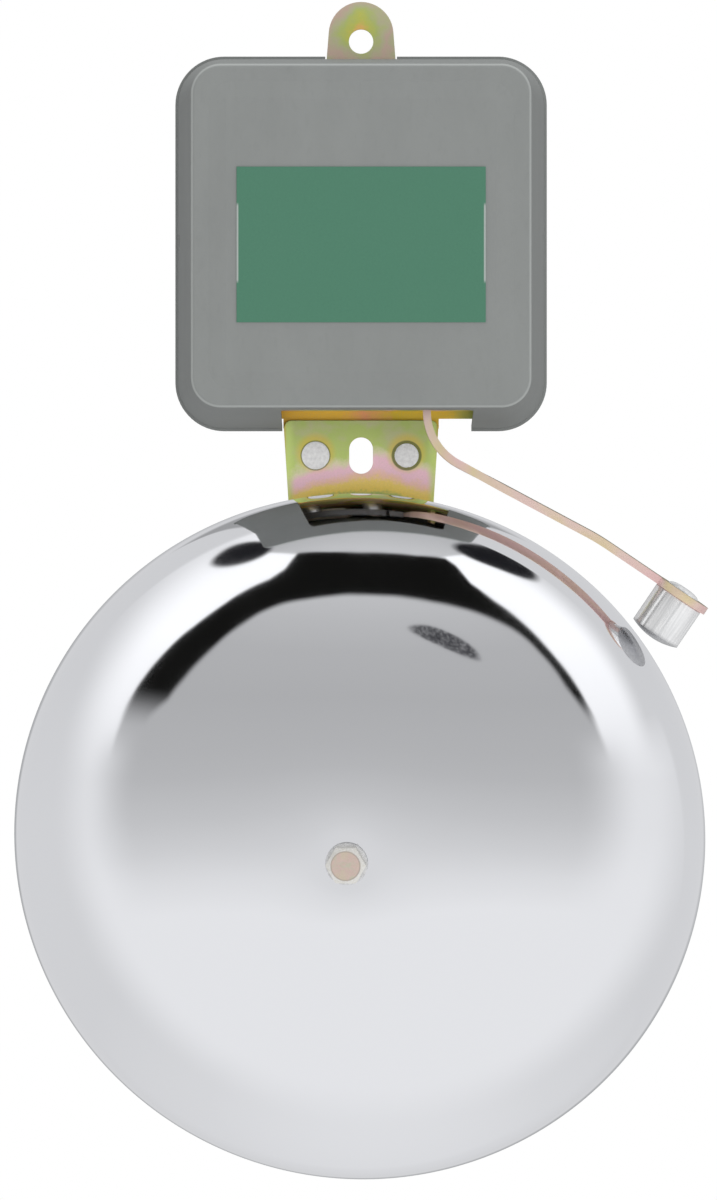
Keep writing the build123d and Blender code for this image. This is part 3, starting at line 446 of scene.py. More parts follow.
class Nodes:
    """Short calls for a node tree. Where no source is given, they read its own coordinates."""

    def __init__(self, tree, coordinates):
        self.tree = tree
        self.tree.nodes.clear()
        self.place = self.add("ShaderNodeTexCoord").outputs[coordinates]

    def add(self, kind, **values):
        """A node with its own settings."""
        node = self.tree.nodes.new(kind)
        for key, value in values.items():
            setattr(node, key, value)
        return node

    def put(self, socket, value):
        """Links an output to a socket, or sets a plain value there."""
        if isinstance(value, bpy.types.NodeSocket):
            self.tree.links.new(value, socket)
        elif socket.type == "RGBA":
            socket.default_value = (*value, 1)
        else:
            socket.default_value = value

    def vectors(self, operation, other, source=None, output="Vector"):
        """One sum of two vectors, the first of them the source."""
        node = self.add("ShaderNodeVectorMath", operation=operation)
        self.put(node.inputs[0], source or self.place)
        self.put(node.inputs[1], other)
        return node.outputs[output]

    def stretched(self, scale, source=None):
        """Coordinates with each axis scaled by its own factor."""
        return self.vectors("MULTIPLY", scale, source)

    def reach(self, direction, source=None):
        """How far along a direction the coordinates lie."""
        return self.vectors("DOT_PRODUCT", direction, source, "Value")

    def distance(self, point, source=None):
        """Distance from a point."""
        return self.vectors("DISTANCE", point, source, "Value")

    def drawn(self, direction, keep):
        """Coordinates squeezed to a share along a direction, so that noise runs that way."""
        squeeze = self.math("MULTIPLY", self.reach(direction), keep - 1)
        node = self.add("ShaderNodeVectorMath", operation="SCALE")
        self.put(node.inputs[0], direction)
        self.put(node.inputs["Scale"], squeeze)
        return self.vectors("ADD", node.outputs["Vector"])

    def axis(self, index):
        """One coordinate: 0 for X, 1 for Y, 2 for Z."""
        node = self.add("ShaderNodeSeparateXYZ")
        self.put(node.inputs[0], self.place)
        return node.outputs[index]

    def noise(self, size, source=None, detail=3.0, rough=0.55, distortion=0.0):
        """Soft noise whose blobs are about size metres across, from 0 to 1."""
        node = self.add("ShaderNodeTexNoise")
        self.put(node.inputs["Vector"], source or self.place)
        values = {"Scale": 1 / size, "Detail": detail, "Roughness": rough, "Distortion": distortion}
        for name, value in values.items():
            node.inputs[name].default_value = value
        return node.outputs["Fac"]

    def cells(self, size):
        """Distance from the middle of cells about size metres across."""
        node = self.add("ShaderNodeTexVoronoi", feature="F1")
        self.put(node.inputs["Vector"], self.place)
        node.inputs["Scale"].default_value = 1 / size
        return node.outputs["Distance"]

    def math(self, operation, first, second=0.0):
        """One sum of two values."""
        node = self.add("ShaderNodeMath", operation=operation)
        self.put(node.inputs[0], first)
        self.put(node.inputs[1], second)
        return node.outputs[0]

    def times(self, first, *others):
        """All the values multiplied."""
        for other in others:
            first = self.math("MULTIPLY", first, other)
        return first

    def total(self, first, *others):
        """All the values added."""
        for other in others:
            first = self.math("ADD", first, other)
        return first

    def away(self, value, middle=0.0):
        """How far a value is from the middle, on either side."""
        return self.math("ABSOLUTE", self.math("SUBTRACT", value, middle))

    def span(self, value, low, high, start=0.0, end=1.0, smooth=False):
        """Maps low..high to start..end, and holds the ends."""
        node = self.add("ShaderNodeMapRange")
        node.interpolation_type = "SMOOTHSTEP" if smooth else "LINEAR"
        self.put(node.inputs["Value"], value)
        ends = {"From Min": low, "From Max": high, "To Min": start, "To Max": end}
        for name, number in ends.items():
            node.inputs[name].default_value = number
        return node.outputs["Result"]

    def line(self, value, points):
        """A level that runs through (place, level) points, for places from -1 to 1."""
        stops = [((place + 1) / 2, (level,) * 3) for place, level in points]
        return self.ramp(self.span(value, -1.0, 1.0), stops)

    def ramp(self, value, stops):
        """Colours along a value: stops are (place, colour)."""
        node = self.add("ShaderNodeValToRGB")
        elements = node.color_ramp.elements
        while len(elements) < len(stops):
            elements.new(1.0)
        for element, (place, tint) in zip(elements, stops):
            element.position = place
            element.color = (*tint, 1)
        self.put(node.inputs["Fac"], value)
        return node.outputs["Color"]

    def mix(self, factor, first, second, blend="MIX"):
        """Blends two colours."""
        node = self.add("ShaderNodeMix", data_type="RGBA", blend_type=blend)
        colours = [socket for socket in node.inputs if socket.type == "RGBA"]
        self.put(node.inputs["Factor"], factor)
        self.put(colours[0], first)
        self.put(colours[1], second)
        return next(socket for socket in node.outputs if socket.type == "RGBA")


class Finish(Nodes):
    """A procedural material round one Principled shader."""

    def __init__(self, name, **values):
        self.material = bpy.data.materials.new(name)
        self.material.use_nodes = True
        super().__init__(self.material.node_tree, "Object")
        self.shader = self.add("ShaderNodeBsdfPrincipled")
        output = self.add("ShaderNodeOutputMaterial")
        self.put(output.inputs["Surface"], self.shader.outputs["BSDF"])
        for key, value in values.items():
            self.give(key.replace("_", " "), value)

    def give(self, name, value):
        """Sets or links one of the shader's sockets, whatever the case of its words."""
        names = {socket.name.lower(): socket for socket in self.shader.inputs}
        self.put(names[name.lower()], value)

    def base(self, factor, first, second):
        """Base colour from first to second."""
        self.give("Base Color", self.mix(factor, first, second))

    def rough(self, pattern, start, end):
        """Roughness from start to end over most of a noise."""
        self.give("Roughness", self.span(pattern, *MOST, start, end))

    def sway(self, size, reach, detail=2):
        """Soft noise in metres, mostly from -reach to reach."""
        return self.span(self.noise(size, detail=detail), *MOST, -reach, reach)

    def bump(self, height, depth):
        """Relief of height times depth metres, on top of any relief before it."""
        node = self.add("ShaderNodeBump")
        node.inputs["Distance"].default_value = depth
        self.put(node.inputs["Height"], height)
        normal = self.shader.inputs["Normal"]
        if normal.is_linked:
            self.put(node.inputs["Normal"], normal.links[0].from_socket)
        self.put(normal, node.outputs["Normal"])


def recipe(**values):
    """Turns a function that lays out a finish into one that makes its material."""

    def maker_of(layout):
        def maker():
            finish = Finish(layout.__name__, **values)
            layout(finish)
            return finish.material

        return maker

    return maker_of


def shade(tint, factor):
    """A tint made lighter or darker."""
    return tuple(min(1.0, part * factor) for part in tint)


def chosen(name):
    """One of the colours in the finish settings."""
    return tuple(getattr(bpy.context.scene.bell_finishes, name))


def zinc_grain(finish, tint, speckled=0.14):
    """Fine speckle, dull patches and rolling marks of plated sheet, on a tint."""
    speckle = finish.noise(0.0005, detail=2)
    dull = shade(chosen("beige_zinc"), 0.6)
    finish.base(finish.span(speckle, 0.35, 0.7, 0.0, speckled), tint, dull)
    finish.rough(finish.noise(0.006, detail=5, rough=0.65), 0.32, 0.5)
    lines = finish.noise(0.002, finish.stretched((6, 1, 0.25)), detail=4)
    finish.bump(lines, 0.00002)
    finish.bump(speckle, 0.00001)


def zinc_mottle(finish, size=0.022):
    """The drifting green, gold and pink tints of yellow-passivated zinc."""
    green = chosen("green_zinc")
    drift = finish.noise(size, detail=2, rough=0.4, distortion=0.5)
    stops = [
        (0.28, shade(green, 0.85)),
        (0.42, (0.78, 0.66, 0.22)),
        (0.5, (0.86, 0.58, 0.4)),
        (0.6, (0.88, 0.62, 0.12)),
        (0.74, shade(green, 0.8)),
    ]
    return finish.ramp(drift, stops)


@recipe(metallic=0.6)
def sheet_zinc(finish):
    """Yellow-passivated sheet with no marked bands."""
    zinc_grain(finish, zinc_mottle(finish))


@recipe(metallic=0.1, specular_ior_level=0.25)
def strap_zinc(finish):
    """The strap's sheet: bands along the gong's rim, partly the zinc's own tints and partly a
    painted reflection of the gong, halos and painted shade rings round the rivets, tinted edges.
    """
    green, gold, pink, beige = (
        chosen(name) for name in ("green_zinc", "gold_zinc", "pink_zinc", "beige_zinc")
    )
    gong = bpy.context.scene.bell_gong
    flat = finish.stretched((1, 0, 1))
    rim = (gong.rim_centre[0], 0, gong.rim_centre[2])
    above = finish.math("SUBTRACT", finish.distance(rim, flat), gong.radius)
    side = finish.away(finish.axis(0))
    calm = finish.span(above, 0.0005, 0.008, 0.2, 1.0)
    drift = finish.times(finish.sway(0.012, 0.0026), calm)
    drop = finish.span(side, 0.008, 0.021, 0.0, 0.0016, smooth=True)
    height = finish.total(above, drift, drop, finish.sway(0.0008, 0.0004))
    # The bands follow the rim because they are partly painted reflection of the gong's light over
    # the zinc's own tints.
    bands = finish.ramp(
        finish.span(height, -0.002, 0.018),
        [
            (0.0, shade(green, 0.5)),
            (0.07, shade(green, 0.75)),
            (0.13, (0.95, 0.7, 0.14)),
            (0.22, (1.0, 0.74, 0.2)),
            (0.3, (1.0, 0.64, 0.5)),
            (0.38, pink),
            (0.46, pink),
            (0.55, shade(beige, 1.05)),
            (0.66, shade(green, 0.95)),
            (1.0, shade(green, 0.88)),
        ],
    )
    cloud = finish.noise(0.007, finish.stretched((1, 1, 1.4)), detail=3)
    dusty = finish.mix(finish.span(cloud, 0.46, 0.7, 0.0, 0.6), bands, shade(beige, 0.8))
    bands = finish.mix(finish.span(height, 0.009, 0.012), bands, dusty)
    bands = finish.mix(finish.span(above, -0.003, -0.01), bands, zinc_mottle(finish))
    sag = 0.0008
    for part in loose_parts("strap_rivets"):
        centre = part_middle(part)
        spread = finish.distance((centre.x, 0, centre.z + sag), flat)
        halo = finish.span(spread, 0.004, 0.0066, 0.6, 0.0, smooth=True)
        bands = finish.mix(halo, bands, shade(gold, 0.85))
        # Painted shade: a dark green ring at the foot of each rivet head.
        spread = finish.distance((centre.x, 0, centre.z), flat)
        bands = finish.mix(finish.span(spread, 0.0042, 0.0045, 0.85, 0.0), bands, shade(green, 0.2))
    green_edge = finish.span(side, 0.0188, 0.0212, 0.0, 0.8, smooth=True)
    bands = finish.mix(green_edge, bands, shade(green, 1.12))
    gold_edge = finish.span(side, 0.0215, 0.0222, 0.0, 0.7, smooth=True)
    zinc_grain(finish, finish.mix(gold_edge, bands, shade(gold, 0.7)))


@recipe(metallic=0.1, specular_ior_level=0.25)
def plate_zinc(finish):
    """The back plate's sheet: green and pink round the hole, and gold on the tongue, brightened as
    painted light against the shade under the cover.
    """
    drift = finish.sway(0.006, 0.0024, detail=3)
    spread = finish.total(finish.distance((0, 0, 0.003)), drift)
    tab_tints = [
        (0.06, (0.72, 0.45, 0.12)),
        (0.2, (0.5, 0.52, 0.1)),
        (0.38, (0.43, 0.5, 0.16)),
        (0.54, (0.47, 0.46, 0.28)),
        (0.7, (0.54, 0.4, 0.33)),
        (0.86, (0.46, 0.46, 0.28)),
    ]
    # The tongue's own gold, made brighter as painted light to make up for the shade under the
    # cover.
    tongue_tints_with_painted_light = [
        (0.0, (1.0, 0.58, 0.07)),
        (0.34, (1.0, 0.6, 0.07)),
        (0.46, (0.95, 0.42, 0.2)),
        (0.56, (0.86, 0.62, 0.05)),
        (0.82, (0.98, 0.66, 0.07)),
        (1.0, shade(chosen("green_zinc"), 0.8)),
    ]
    tab = finish.ramp(finish.span(spread, 0.0, 0.014), tab_tints)
    side = finish.total(finish.axis(0), drift)
    tongue = finish.ramp(finish.span(side, -0.024, 0.034), tongue_tints_with_painted_light)
    height = finish.axis(2)
    tint = finish.mix(finish.span(height, -0.016, -0.011), zinc_mottle(finish), tab)
    zinc_grain(finish, finish.mix(finish.span(height, -0.104, -0.1055), tint, tongue))


@recipe(metallic=0.3)
def strip_zinc(finish):
    """The striker's strip: pale pink and gold along its run, with painted shade on its upward faces
    and painted pale light on its downward faces.
    """
    drift = finish.noise(0.008, finish.stretched((0.4, 1, 0.4)), detail=2)
    stops = [
        (0.32, (0.74, 0.5, 0.49)),
        (0.46, (0.74, 0.56, 0.5)),
        (0.58, (0.7, 0.58, 0.36)),
        (0.7, (0.77, 0.53, 0.52)),
    ]
    # Painted shade on the faces turned up and painted light on the faces turned down, picked by
    # each face's direction.
    normal = finish.add("ShaderNodeNewGeometry").outputs["Normal"]
    upper = finish.span(finish.reach((0.42, 0, 0.91), normal), 0.3, 0.62)
    tint = finish.mix(upper, finish.ramp(drift, stops), (0.2, 0.17, 0.08))
    lower = finish.span(finish.reach((-0.42, 0, -0.91), normal), 0.2, 0.6, 0.0, 0.6)
    zinc_grain(finish, finish.mix(lower, tint, (0.9, 0.58, 0.55)), 0.1)


def zinc_crystals(finish, tint, start, end):
    """Clear zinc plating with a crystalline mottle."""
    grain = finish.noise(0.0009, detail=4)
    finish.base(finish.span(grain, 0.35, 0.65), shade(tint, 0.84), shade(tint, 1.12))
    finish.give("Roughness", finish.span(finish.cells(0.0007), 0.0, 0.8, start, end))
    finish.bump(grain, 0.00003)


@recipe(metallic=0.6)
def washer_zinc(finish):
    """The gong's clear-plated washer."""
    zinc_crystals(finish, (0.72, 0.72, 0.72), 0.24, 0.42)


@recipe(metallic=0.15)
def rivet_zinc(finish):
    """Hammered rivet heads."""
    zinc_crystals(finish, (1.0, 1.0, 1.0), 0.4, 0.6)


@recipe(metallic=0.65)
def hammer_zinc(finish):
    """The turned hammer, with fine drawn lines along it and a duller domed end."""
    settings = bpy.context.scene.bell_fixings
    direction = Vector(settings.hammer_direction).normalized()
    lines = finish.noise(0.0007, finish.drawn(direction, 0.04), detail=3)
    tone = finish.mix(finish.span(lines, 0.35, 0.65), (0.76, 0.765, 0.77), (1.0, 1.0, 1.0))
    seat_to_face = settings.hammer_length + settings.strip_thickness / 2
    end = direction.dot(Vector(settings.hammer_seat) - direction * seat_to_face)
    dull = finish.span(finish.reach(direction), end, end + 0.0009, 0.55, 0.0)
    finish.base(dull, tone, (0.3, 0.3, 0.31))
    finish.rough(finish.noise(0.004, detail=3), 0.16, 0.26)
    finish.bump(lines, 0.000012)


@recipe(metallic=0.4)
def bolt_zinc(finish):
    """The gong's bolt: a pale pink and gold crown inside a brighter chamfer."""
    gong, fixings = bpy.context.scene.bell_gong, bpy.context.scene.bell_fixings
    top = gong.depth + fixings.washer_thickness + fixings.bolt_height
    centre = gong_frame(gong) @ Vector((0, 0, top))
    drift = finish.noise(0.0035, detail=3, distortion=0.5)
    tint = finish.ramp(
        drift, [(0.36, (0.64, 0.54, 0.44)), (0.5, (0.66, 0.5, 0.46)), (0.64, (0.58, 0.54, 0.44))]
    )
    spread = finish.distance(tuple(centre))
    crown = fixings.bolt_crown_radius
    tint = finish.mix(finish.span(spread, crown - 0.0003, crown), tint, (0.8, 0.79, 0.77))
    line = finish.away(spread, crown - 0.0002)
    tint = finish.mix(finish.span(line, 0.0, 0.0003, 0.6, 0.0), tint, (0.24, 0.2, 0.18))
    zinc_grain(finish, tint, 0.3)


@recipe(metallic=0.75)
def screw_zinc(finish):
    """Plated screws with a faint yellow and pink tint."""
    drift = finish.noise(0.0028, detail=3, distortion=0.5)
    tint = finish.ramp(
        drift, [(0.35, (0.62, 0.52, 0.4)), (0.5, (0.68, 0.5, 0.44)), (0.62, (0.6, 0.58, 0.36))]
    )
    zinc_grain(finish, tint)


@recipe(metallic=1.0)
def gong_chrome(finish):
    """Polished chrome, almost a mirror, with a breath of haze and very shallow dents."""
    finish.give("Base Color", chosen("chrome"))
    haze = finish.noise(0.03, detail=5, rough=0.6)
    finish.give("Roughness", finish.span(haze, 0.35, 0.7, 0.035, 0.07))
    finish.bump(finish.noise(0.022, detail=1), 0.00006)


@recipe(metallic=0.9)
def gong_inside(finish):
    """The gong's unpolished inside: thin dull plating with spinning rings."""
    rim = bpy.context.scene.bell_gong.rim_centre
    spread = finish.distance((rim[0], 0, rim[2]), finish.stretched((1, 0, 1)))
    rings = finish.noise(0.0011, spread, detail=2)
    haze = finish.noise(0.02, detail=4, rough=0.7)
    finish.base(finish.span(haze, *MOST), (0.42, 0.42, 0.43), (0.58, 0.57, 0.56))
    finish.rough(rings, 0.32, 0.5)
    finish.bump(rings, 0.00008)


@recipe(specular_ior_level=0.08)
def box_paint(finish):
    """Satin grey paint on pressed sheet with faint runs, and a painted highlight along the front
    edge.
    """
    paint = chosen("paint")
    runs = finish.noise(0.014, finish.stretched((1, 1, 0.4)), detail=4, rough=0.6)
    fine = finish.noise(0.0018, finish.stretched((1, 1, 0.5)), detail=3)
    tone = finish.mix(finish.span(runs, *MOST), shade(paint, 0.965), shade(paint, 1.03))
    tone = finish.mix(finish.span(fine, 0.55, 0.75, 0.0, 0.25), tone, shade(paint, 0.88))
    # Painted highlight: a pale line of paint along the cover's rounded front edge.
    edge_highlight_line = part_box("front_cover")[0].y + 0.0012
    edge = finish.away(finish.axis(1), edge_highlight_line)
    finish.base(finish.span(edge, 0.0002, 0.0004, 0.8, 0.0), tone, shade(paint, 1.6))
    finish.rough(runs, 0.5, 0.6)
    finish.bump(finish.noise(0.0014, detail=2), 0.00003)
    finish.bump(runs, 0.00005)


@recipe(specular_ior_level=0.3)
def label_green(finish):
    """Plain printed sheet, matt green, with bare slivers at its two upright edges."""
    green = chosen("label")
    grain = finish.noise(0.0006, detail=3)
    tone = finish.mix(finish.span(grain, *MOST), shade(green, 0.97), shade(green, 1.03))
    low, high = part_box("cover_label")
    side = finish.away(finish.axis(0))
    sliver_middle = low.z + (high.z - low.z) * 0.51
    tall = finish.span(finish.away(finish.axis(2), sliver_middle), 0.0105, 0.0115, 1.0, 0.0)
    sliver = finish.times(finish.span(side, high.x - 0.0006, high.x - 0.0004), tall)
    finish.base(sliver, tone, (0.36, 0.4, 0.38))
    finish.rough(finish.noise(0.02, detail=2), 0.5, 0.6)
    finish.bump(grain, 0.000008)


def two_tone(finish, pattern, ends, tints, rough, relief):
    """Colour, roughness and relief that all follow one pattern."""
    finish.base(finish.span(pattern, *ends), *tints)
    finish.rough(pattern, *rough)
    finish.bump(pattern, relief)


@recipe(metallic=0.7)
def sheet_steel(finish):
    """Varnished core sheets with a soft sheen and rust-brown specks."""
    specks = finish.noise(0.002, detail=5, rough=0.7)
    tints = ((0.24, 0.24, 0.25), (0.18, 0.12, 0.08))
    two_tone(finish, specks, (0.52, 0.75), tints, (0.35, 0.6), 0.00003)


@recipe(metallic=0.95)
def spring_steel(finish):
    """Blued spring steel with a long grain."""
    grain = finish.noise(0.0006, finish.stretched((1, 1, 0.1)), detail=4)
    heat = finish.noise(0.006, detail=2)
    blued = finish.ramp(
        heat, [(0.35, (0.08, 0.1, 0.2)), (0.55, (0.16, 0.14, 0.24)), (0.7, (0.3, 0.22, 0.12))]
    )
    finish.base(finish.span(grain, 0.4, 0.7, 0.0, 0.4), blued, (0.3, 0.31, 0.34))
    finish.rough(grain, 0.22, 0.36)
    finish.bump(grain, 0.00001)


@recipe(subsurface_weight=0.15, subsurface_scale=0.0008)
def bobbin_nylon(finish):
    """Moulded nylon with a soft sheen and flow marks."""
    flow = finish.noise(0.008, finish.stretched((1, 1, 0.3)), detail=3)
    tints = ((0.6, 0.56, 0.45), (0.7, 0.66, 0.56))
    two_tone(finish, flow, MOST, tints, (0.34, 0.46), 0.00002)


@recipe(metallic=0.8, coat_weight=0.5)
def coil_copper(finish):
    """Enamelled copper wire, wound side by side up the coil, with painted shade in the grooves
    between turns.
    """
    half_wire = 0.00025
    turns = finish.math("PINGPONG", finish.axis(2), half_wire)
    wire = finish.span(turns, 0.0, half_wire, smooth=True)
    haze = finish.noise(0.004, detail=3)
    copper = finish.mix(finish.span(haze, *MOST), (0.5, 0.17, 0.06), (0.62, 0.26, 0.1))
    # Painted shade: dark copper in the grooves between the turns.
    finish.base(wire, (0.18, 0.06, 0.024), copper)
    finish.rough(haze, 0.25, 0.4)
    finish.bump(wire, 0.0002)


@recipe(specular_ior_level=0.4)
def winding_tape(finish):
    """Yellow insulating tape in overlapping turns, with a fine weave."""
    tape_width = 0.0085
    laps = finish.math("FRACT", finish.math("DIVIDE", finish.axis(2), tape_width))
    dirt = finish.noise(0.01, detail=4)
    tone = finish.mix(finish.span(dirt, 0.35, 0.75), (0.62, 0.44, 0.06), (0.5, 0.33, 0.05))
    finish.base(finish.span(laps, 0.0, 0.06), (0.25, 0.165, 0.025), tone)
    weave = finish.noise(0.0004, finish.stretched((1, 1, 2)), detail=1)
    finish.rough(weave, 0.4, 0.55)
    finish.bump(laps, 0.0001)
    finish.bump(weave, 0.00003)


@recipe(specular_ior_level=0.55)
def terminal_plastic(finish):
    """Ivory moulded plastic with a faint parting haze."""
    flow = finish.noise(0.005, detail=3)
    grime = finish.noise(0.0015, detail=5, rough=0.7)
    tone = finish.mix(finish.span(flow, *MOST), (0.66, 0.62, 0.5), (0.72, 0.69, 0.58))
    finish.base(finish.span(grime, 0.58, 0.8, 0, 0.5), tone, (0.4, 0.36, 0.28))
    finish.rough(flow, 0.22, 0.34)
    finish.bump(grime, 0.00002)


@recipe(specular_ior_level=0.35)
def lead_sleeve(finish):
    """Red woven sleeve on the coil's leads."""
    weave = finish.cells(0.0003)
    finish.base(finish.span(weave, 0.2, 0.8), (0.5, 0.05, 0.04), (0.28, 0.02, 0.02))
    finish.give("Roughness", finish.span(weave, 0.0, 0.8, 0.45, 0.65))
    finish.bump(weave, 0.00005)


# ---------------------------------------------------------------- shapes
def gong_section(settings):
    """The gong's closed section from its rim over the outside and back inside.

    Also says how many of its steps lie outside.
    """
    shoulder_steps, crown_steps = 56, 44
    draft = settings.skirt_draft
    shoulder = settings.shoulder_radius
    skirt_top = settings.radius - settings.skirt_height * math.tan(draft)
    centre = (
        skirt_top - shoulder * math.cos(draft),
        settings.skirt_height - shoulder * math.sin(draft),
    )
    drop = settings.depth - centre[1]
    reach = centre[0] - settings.crown_flat_radius
    crown = (reach**2 + drop**2 - shoulder**2) / (2 * (drop - shoulder))
    meeting = 90 - math.degrees(math.asin(reach / (crown - shoulder)))
    crown_centre = (settings.crown_flat_radius, settings.depth - crown)
    outside = []
    inside = []
    for inset, points in ((0, outside), (settings.wall, inside)):
        points += arc(centre, shoulder - inset, math.degrees(draft), meeting, shoulder_steps)
        points += arc(crown_centre, crown - inset, meeting, 90, crown_steps)[1:]
    rim_inside = settings.radius - settings.wall / math.cos(draft)
    rim = rounded(
        [inside[0], (rim_inside, 0), (settings.radius, 0), outside[0]],
        [settings.rim_edge_radius] * 2,
    )
    hole = [
        (settings.hole_radius, settings.depth),
        (settings.hole_radius, settings.depth - settings.wall),
    ]
    return rim[1:-1] + outside + hole + inside[::-1], len(rim) - 2 + len(outside) + 1


def gong_frame(settings):
    """The gong's frame: Z out along its axis from the rim's centre."""
    tilt, lean = settings.tilt, settings.lean
    direction = Vector(
        (-math.sin(tilt) * math.sin(lean), -math.cos(tilt), -math.sin(tilt) * math.cos(lean))
    )
    return axis_frame(settings.rim_centre, direction)


def hexagon_head(mesh, width, crown_radius, height, matrix, chamfer_angle=30, edge=0.0002):
    """Hexagon head with its corners chamfered round the crown."""
    steps = 6 * 16
    slope = math.tan(math.radians(chamfer_angle))
    rings = [[], [], [], []]
    for step in range(steps):
        turn = 2 * math.pi * step / steps
        within = (turn % (math.pi / 3)) - math.pi / 6
        radius = width / 2 / math.cos(within)
        side = Vector((math.cos(turn), math.sin(turn), 0))
        chamfer = height - max(0.0, radius - crown_radius) * slope
        crown = min(radius, crown_radius)
        levels = ((crown, height), (radius, chamfer), (radius, edge), (radius - edge, 0.0))
        for ring, (reach, rise) in zip(rings, levels):
            ring.append(mesh.verts.new(matrix @ (side * reach + UP * rise)))
    top = mesh.verts.new(matrix @ Vector((0, 0, height)))
    base = mesh.verts.new(matrix @ Vector((0, 0, 0)))
    for step in range(steps):
        ahead = (step + 1) % steps
        mesh.faces.new((rings[0][step], rings[0][ahead], top))
        mesh.faces.new((rings[3][ahead], rings[3][step], base))
        for low, high in zip(rings[1:], rings):
            mesh.faces.new((low[step], low[ahead], high[ahead], high[step]))


def peened_head(mesh, matrix, radius, height, seed):
    """Hammered rivet head: a low dome with an uneven face."""
    before = len(mesh.verts)
    section = [(0, 0), (radius * 0.96, 0.0), (radius, height * 0.25)]
    for degrees in range(15, 90, 9):
        turn = math.radians(degrees)
        section.append((radius * math.cos(turn) ** 0.8, height * (0.25 + 0.75 * math.sin(turn))))
    section.append((0, height))
    revolve(mesh, section, matrix, 72, closed=False)
    mesh.verts.ensure_lookup_table()
    out = (matrix.to_3x3() @ UP).normalized()
    inverse = matrix.inverted()
    foot = height * 0.1
    dent_scale = 900
    for vert in mesh.verts[before:]:
        if (inverse @ vert.co).z >= foot:
            wave = noise.noise(vert.co * dent_scale + Vector((seed, 0, 0)))
            vert.co += out * min(0.0, wave * height * 0.5 - height * 0.12)


def slotted_head(mesh, matrix, radius, height):
    """Cheese head with rounded edges, standing on the matrix's plane."""
    edge = min(radius, height) * 0.22
    section = [(0, 0), (radius, 0), (radius, height), (0, height)]
    revolve(mesh, rounded(section, [edge * 0.4, edge], steps=4), matrix, 48, closed=False)


def shank(mesh, matrix, radius, depth, chamfer=0.0, segments=32):
    """Round shank behind the matrix's plane, with a chamfered end where chamfer is set."""
    section = [(0, -depth), (radius - chamfer, -depth)]
    if chamfer:
        section.append((radius, chamfer - depth))
    revolve(mesh, section + [(radius, 0), (0, 0)], matrix, segments, closed=False)


# ---------------------------------------------------------------- pieces
class BELL_OT_gong(bpy.types.Operator):
    """Spins the chromed gong from its pressed section, with a rounded rim and a dull inside"""

    bl_idname = "bell.gong"
    bl_label = "Gong"

    def execute(self, context):
        settings = context.scene.bell_gong
        section, outside_steps = gong_section(settings)
        mesh = bmesh.new()
        revolve(mesh, section, gong_frame(settings), settings.segments)
        for index, face in enumerate(mesh.faces):
            face.material_index = 0 if index < outside_steps * settings.segments else 1
        chrome = gong_chrome()
        piece = new_piece("gong_dome", mesh, chrome, "bell", ["gong"], sharp=50)
        piece.data.materials.append(gong_inside())
        return {"FINISHED"}


class BELL_OT_gong_fixings(bpy.types.Operator):
    """Makes the gong's bolt and washer and finishes the post behind them"""

    bl_idname = "bell.gong_fixings"
    bl_label = "Gong fixings"

    def execute(self, context):
        settings = context.scene.bell_fixings
        gong = context.scene.bell_gong
        washer_face = gong_frame(gong) @ Matrix.Translation((0, 0, gong.depth))
        thick = settings.washer_thickness
        thread = settings.bolt_shank_radius
        play = 0.0001
        hole, outer = thread + play, settings.washer_radius
        foot_edge, top_edge = 0.0002, 0.0003
        section = [(hole, 0), (outer, 0), (outer, thick), (hole, thick)]
        mesh = bmesh.new()
        revolve(mesh, rounded(section, [foot_edge, top_edge], steps=3), washer_face, 96)
        zinc = washer_zinc()
        new_piece("gong_washer_ring", mesh, zinc, "bell", ["gong_washer"])
        head_face = washer_face @ Matrix.Translation((0, 0, thick))
        width, crown, height = settings.bolt_width, settings.bolt_crown_radius, settings.bolt_height
        mesh = bmesh.new()
        hexagon_head(mesh, width, crown, height, head_face)
        shank(mesh, head_face, thread, settings.bolt_length, chamfer=0.0005, segments=48)
        zinc = bolt_zinc()
        new_piece("gong_bolt_head", mesh, zinc, "bell", ["gong_bolt"], sharp=20)
        dress("gong_post")
        return {"FINISHED"}


# Outline of the hammer's peened head: shares of its radius and of its height.
PEEN = ((0, 1), (0.35, 0.98), (0.62, 0.86), (0.85, 0.6), (0.97, 0.25), (1, 0))


class BELL_OT_striker(bpy.types.Operator):
    """Finishes the striker's strip and turns its hammer with a domed end and a peened head"""

    bl_idname = "bell.striker"
    bl_label = "Striker"

    def execute(self, context):
        settings = context.scene.bell_fixings
        dress("striker_strip", strip_zinc(), STRIP_EDGE)
        out = Vector(settings.hammer_direction).normalized()
        matrix = axis_frame(settings.hammer_seat, -out)
        half = settings.strip_thickness / 2
        radius, length, edge = settings.hammer_radius, settings.hammer_length, settings.hammer_edge
        dome = settings.hammer_dome
        dome_radius = (radius**2 + dome**2) / (2 * dome)
        turn = math.degrees(math.asin(radius / dome_radius))
        peen, rise = settings.peen_radius, settings.peen_height
        section = [(peen * share, -half - rise * up) for share, up in PEEN]
        section += [(settings.spigot_radius, -half), (settings.spigot_radius, half)]
        section += [(radius - edge, half)]
        section += arc((radius - edge, half + edge), edge, -90, 0, 5)
        section += [(radius, half + length * 0.5)]
        section += arc((0, half + length + dome - dome_radius), dome_radius, 90 - turn, 90, 14)
        mesh = bmesh.new()
        revolve(mesh, section, matrix, 96, closed=False)
        zinc = hammer_zinc()
        nodes = ["hammer_head"]
        new_piece("hammer_cylinder", mesh, zinc, "striker", nodes, sharp=25)
        dress("armature_rivets")
        return {"FINISHED"}


